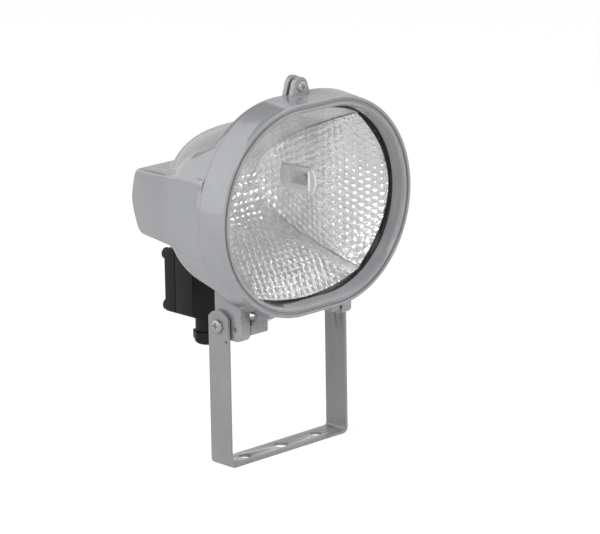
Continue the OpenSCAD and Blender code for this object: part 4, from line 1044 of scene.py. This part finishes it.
# Each lamp's name, place, height that it aims at above the middle, size and power
LAMPS = (("left lamp", (-2.4, 0.3, 2.1), 0.2, (2.2, 2.0), 80),
         ("front lamp", (0.2, -2.9, 1.9), 0.2, (1.2, 1.0), 66))

# Each card's name, place, height that it faces above the middle, size and shade, with 1 for white
CARDS = (("dark right", (1.5, -1.5, 0.25), 0.25, (2.2, 1.1), 0.35),
         ("dark back", (2.1, 2.15, 1.15), 0.25, (3.6, 2.0), 0.62),
         ("dark front", (-0.8, -3.4, 2.2), 0.25, (6.0, 3.9), 0.36),
         ("dark left", (-3.4, -2.2, 1.2), 0.25, (3.4, 2.3), 0.5),
         ("bright front", (-1.0, -2.5, 1.9), 0.25, (1.1, 0.8), 3.6),
         ("dark top", (-0.2, -1.2, 3.2), 0.25, (3.6, 2.6), 0.42),
         ("dark above", (0.6, 2.2, 2.3), 0.3, (2.3, 1.5), 0.12))


def camera_axes():
    """The camera's right, up and back directions from its azimuth, elevation and roll."""
    a, e, r = (math.radians(v) for v in (CAMERA_AZIMUTH, CAMERA_ELEVATION, CAMERA_ROLL))
    right = np.array([math.cos(a), math.sin(a), 0])
    ahead = -np.array([math.sin(a) * math.cos(e), -math.cos(a) * math.cos(e), math.sin(e)])
    down = np.cross(ahead, right)
    turned = math.cos(r) * right - math.sin(r) * down
    down = math.sin(r) * right + math.cos(r) * down
    return np.column_stack([turned, -down, -ahead])


def white_surround(scene, strength):
    """World that gives plain light, and shows white to the camera, to gloss and through glass."""
    world = bpy.data.worlds.new("surround")
    scene.world = world
    world.use_nodes = True
    tree = world.node_tree
    tree.nodes.clear()
    way = add(tree, "ShaderNodeLightPath")
    direct = larger(tree, way.outputs["Is Camera Ray"], way.outputs["Is Glossy Ray"])
    seen = larger(tree, direct, way.outputs["Is Transmission Ray"])
    plain = add(tree, "ShaderNodeBackground", Color=(1, 1, 1, 1), Strength=strength)
    white = add(tree, "ShaderNodeBackground", Color=(1, 1, 1, 1), Strength=1.0)
    out = add(tree, "ShaderNodeOutputWorld")
    tree.links.new(blended(tree, seen, plain.outputs[0], white.outputs[0]), out.inputs["Surface"])


def mirrored(tree, way, plain, seen):
    """A value that is plain for rays that met no gloss, and seen for those that did."""
    met = add(tree, "ShaderNodeMath", operation="MINIMUM")
    fill(met, {1: 1.0})
    tree.links.new(way.outputs["Glossy Depth"], met.inputs[0])
    value = add(tree, "ShaderNodeMath", operation="MULTIPLY_ADD")
    tree.links.new(met.outputs[0], value.inputs[0])
    fill(value, {1: seen - plain, 2: plain})
    return value.outputs[0]


def floor_material(colour):
    """Pale floor that shows white to the camera, also through glass, and keeps the object's shadow."""
    material, tree, shader = new_material("pale floor")
    fill(shader, {"Base Color": (*colour, 1), "Roughness": FLOOR_ROUGH})
    way = add(tree, "ShaderNodeLightPath")
    glow = add(tree, "ShaderNodeEmission", Color=(1, 1, 1, 1))
    tree.links.new(mirrored(tree, way, FLOOR_GLOW, FLOOR_IN_GLOSS), glow.inputs["Strength"])
    seen = larger(tree, way.outputs["Is Camera Ray"], way.outputs["Is Transmission Ray"])
    share = add(tree, "ShaderNodeMath", operation="MULTIPLY")
    fill(share, {1: FLOOR_GLOW_SHARE})
    tree.links.new(larger(tree, seen, mirrored(tree, way, 0.0, 1.0)), share.inputs[0])
    both = blended(tree, share.outputs[0], shader.outputs[0], glow.outputs[0])
    tree.links.new(both, tree.nodes["Material Output"].inputs["Surface"])
    return material


def matrix_of(axes, place):
    """A 4 by 4 placement from three axes and a point."""
    full = np.eye(4)
    full[:3, :3] = axes
    full[:3, 3] = place
    return Matrix(full.tolist())


def facing(place, target):
    """Side, up and back directions at a place that faces a target: back leads away from it, side is level."""
    back = np.array(place) - np.array(target)
    back /= np.linalg.norm(back)
    side = np.cross((0, 0, 1), back)
    side /= np.linalg.norm(side)
    return np.column_stack([side, np.cross(back, side), back])


def soft_lamp(name, place, aim, size, power):
    """Soft lamp at a place, turned to face a height above the middle."""
    data = bpy.data.lights.new(name, "AREA")
    data.shape = "RECTANGLE"
    data.size, data.size_y = size
    data.energy = power
    lamp = placed(name, data)
    lamp.matrix_world = matrix_of(facing(place, (0, 0, aim)), place)
    lamp.visible_glossy = False


def stage_sheet(name, corners, material):
    """A flat sheet of the stage between four corners."""
    mesh = bpy.data.meshes.new(name)
    mesh.from_pydata([tuple(c) for c in corners], [], [(0, 1, 2, 3)])
    mesh.materials.append(material)
    sheet = placed(name, mesh)
    return sheet


def glowing_card(name, place, aim, size, shade):
    """Screen that only shows in gloss, as the unlit or bright parts of a studio do."""
    side, up, _ = facing(place, (0, 0, aim)).T
    reach_side, reach_up = side * size[0] / 2, up * size[1] / 2
    corners = [place + reach_side * a + reach_up * b for a, b in ((-1, -1), (1, -1), (1, 1), (-1, 1))]
    material, tree, _ = new_material(name)
    glow = add(tree, "ShaderNodeEmission", Color=(1, 1, 1, 1))
    tree.links.new(mirrored(tree, add(tree, "ShaderNodeLightPath"), 1.0, shade), glow.inputs["Strength"])
    tree.links.new(glow.outputs[0], tree.nodes["Material Output"].inputs["Surface"])
    screen = stage_sheet(name, corners, material)
    screen.visible_camera = False
    screen.visible_diffuse = False
    screen.visible_shadow = False


def add_camera(scene, look):
    """The camera, at the place and angles that were solved for the photograph."""
    data = bpy.data.cameras.new("camera")
    data.sensor_width = SENSOR_WIDTH
    data.lens = look.focal_length
    data.clip_end = CLIP_END
    camera = placed("camera", data)
    camera.matrix_world = matrix_of(camera_axes(), CAMERA_PLACE)
    scene.camera = camera


def build_stage(scene, look):
    """White surround, pale floor, two soft lamps, seven cards that show in gloss, and the camera."""
    scene.view_settings.view_transform = "Standard"
    white_surround(scene, look.world_strength)
    r = FLOOR_REACH
    corners = [(-r, -r, FLOOR_Z), (r, -r, FLOOR_Z), (r, r, FLOOR_Z), (-r, r, FLOOR_Z)]
    stage_sheet("floor", corners, floor_material(look.floor_colour))
    for lamp in LAMPS:
        soft_lamp(*lamp)
    for screen in CARDS:
        glowing_card(*screen)
    add_camera(scene, look)


# Running

def register():
    """Registers settings, operators and panel, and hangs the settings on the scene."""
    for kind in (*GROUPS.values(), *OPERATORS, FLOOD_PT_builder):
        bpy.utils.register_class(kind)
    for key, kind in GROUPS.items():
        setattr(bpy.types.Scene, key, bpy.props.PointerProperty(type=kind))


def unregister():
    """Undoes what register does."""
    for key in GROUPS:
        delattr(bpy.types.Scene, key)
    for kind in reversed((*GROUPS.values(), *OPERATORS, FLOOD_PT_builder)):
        bpy.utils.unregister_class(kind)


def main():
    register()
    for operator in OPERATORS:
        getattr(bpy.ops.flood, operator.bl_idname.split(".")[1])()


if __name__ == "__main__":
    main()
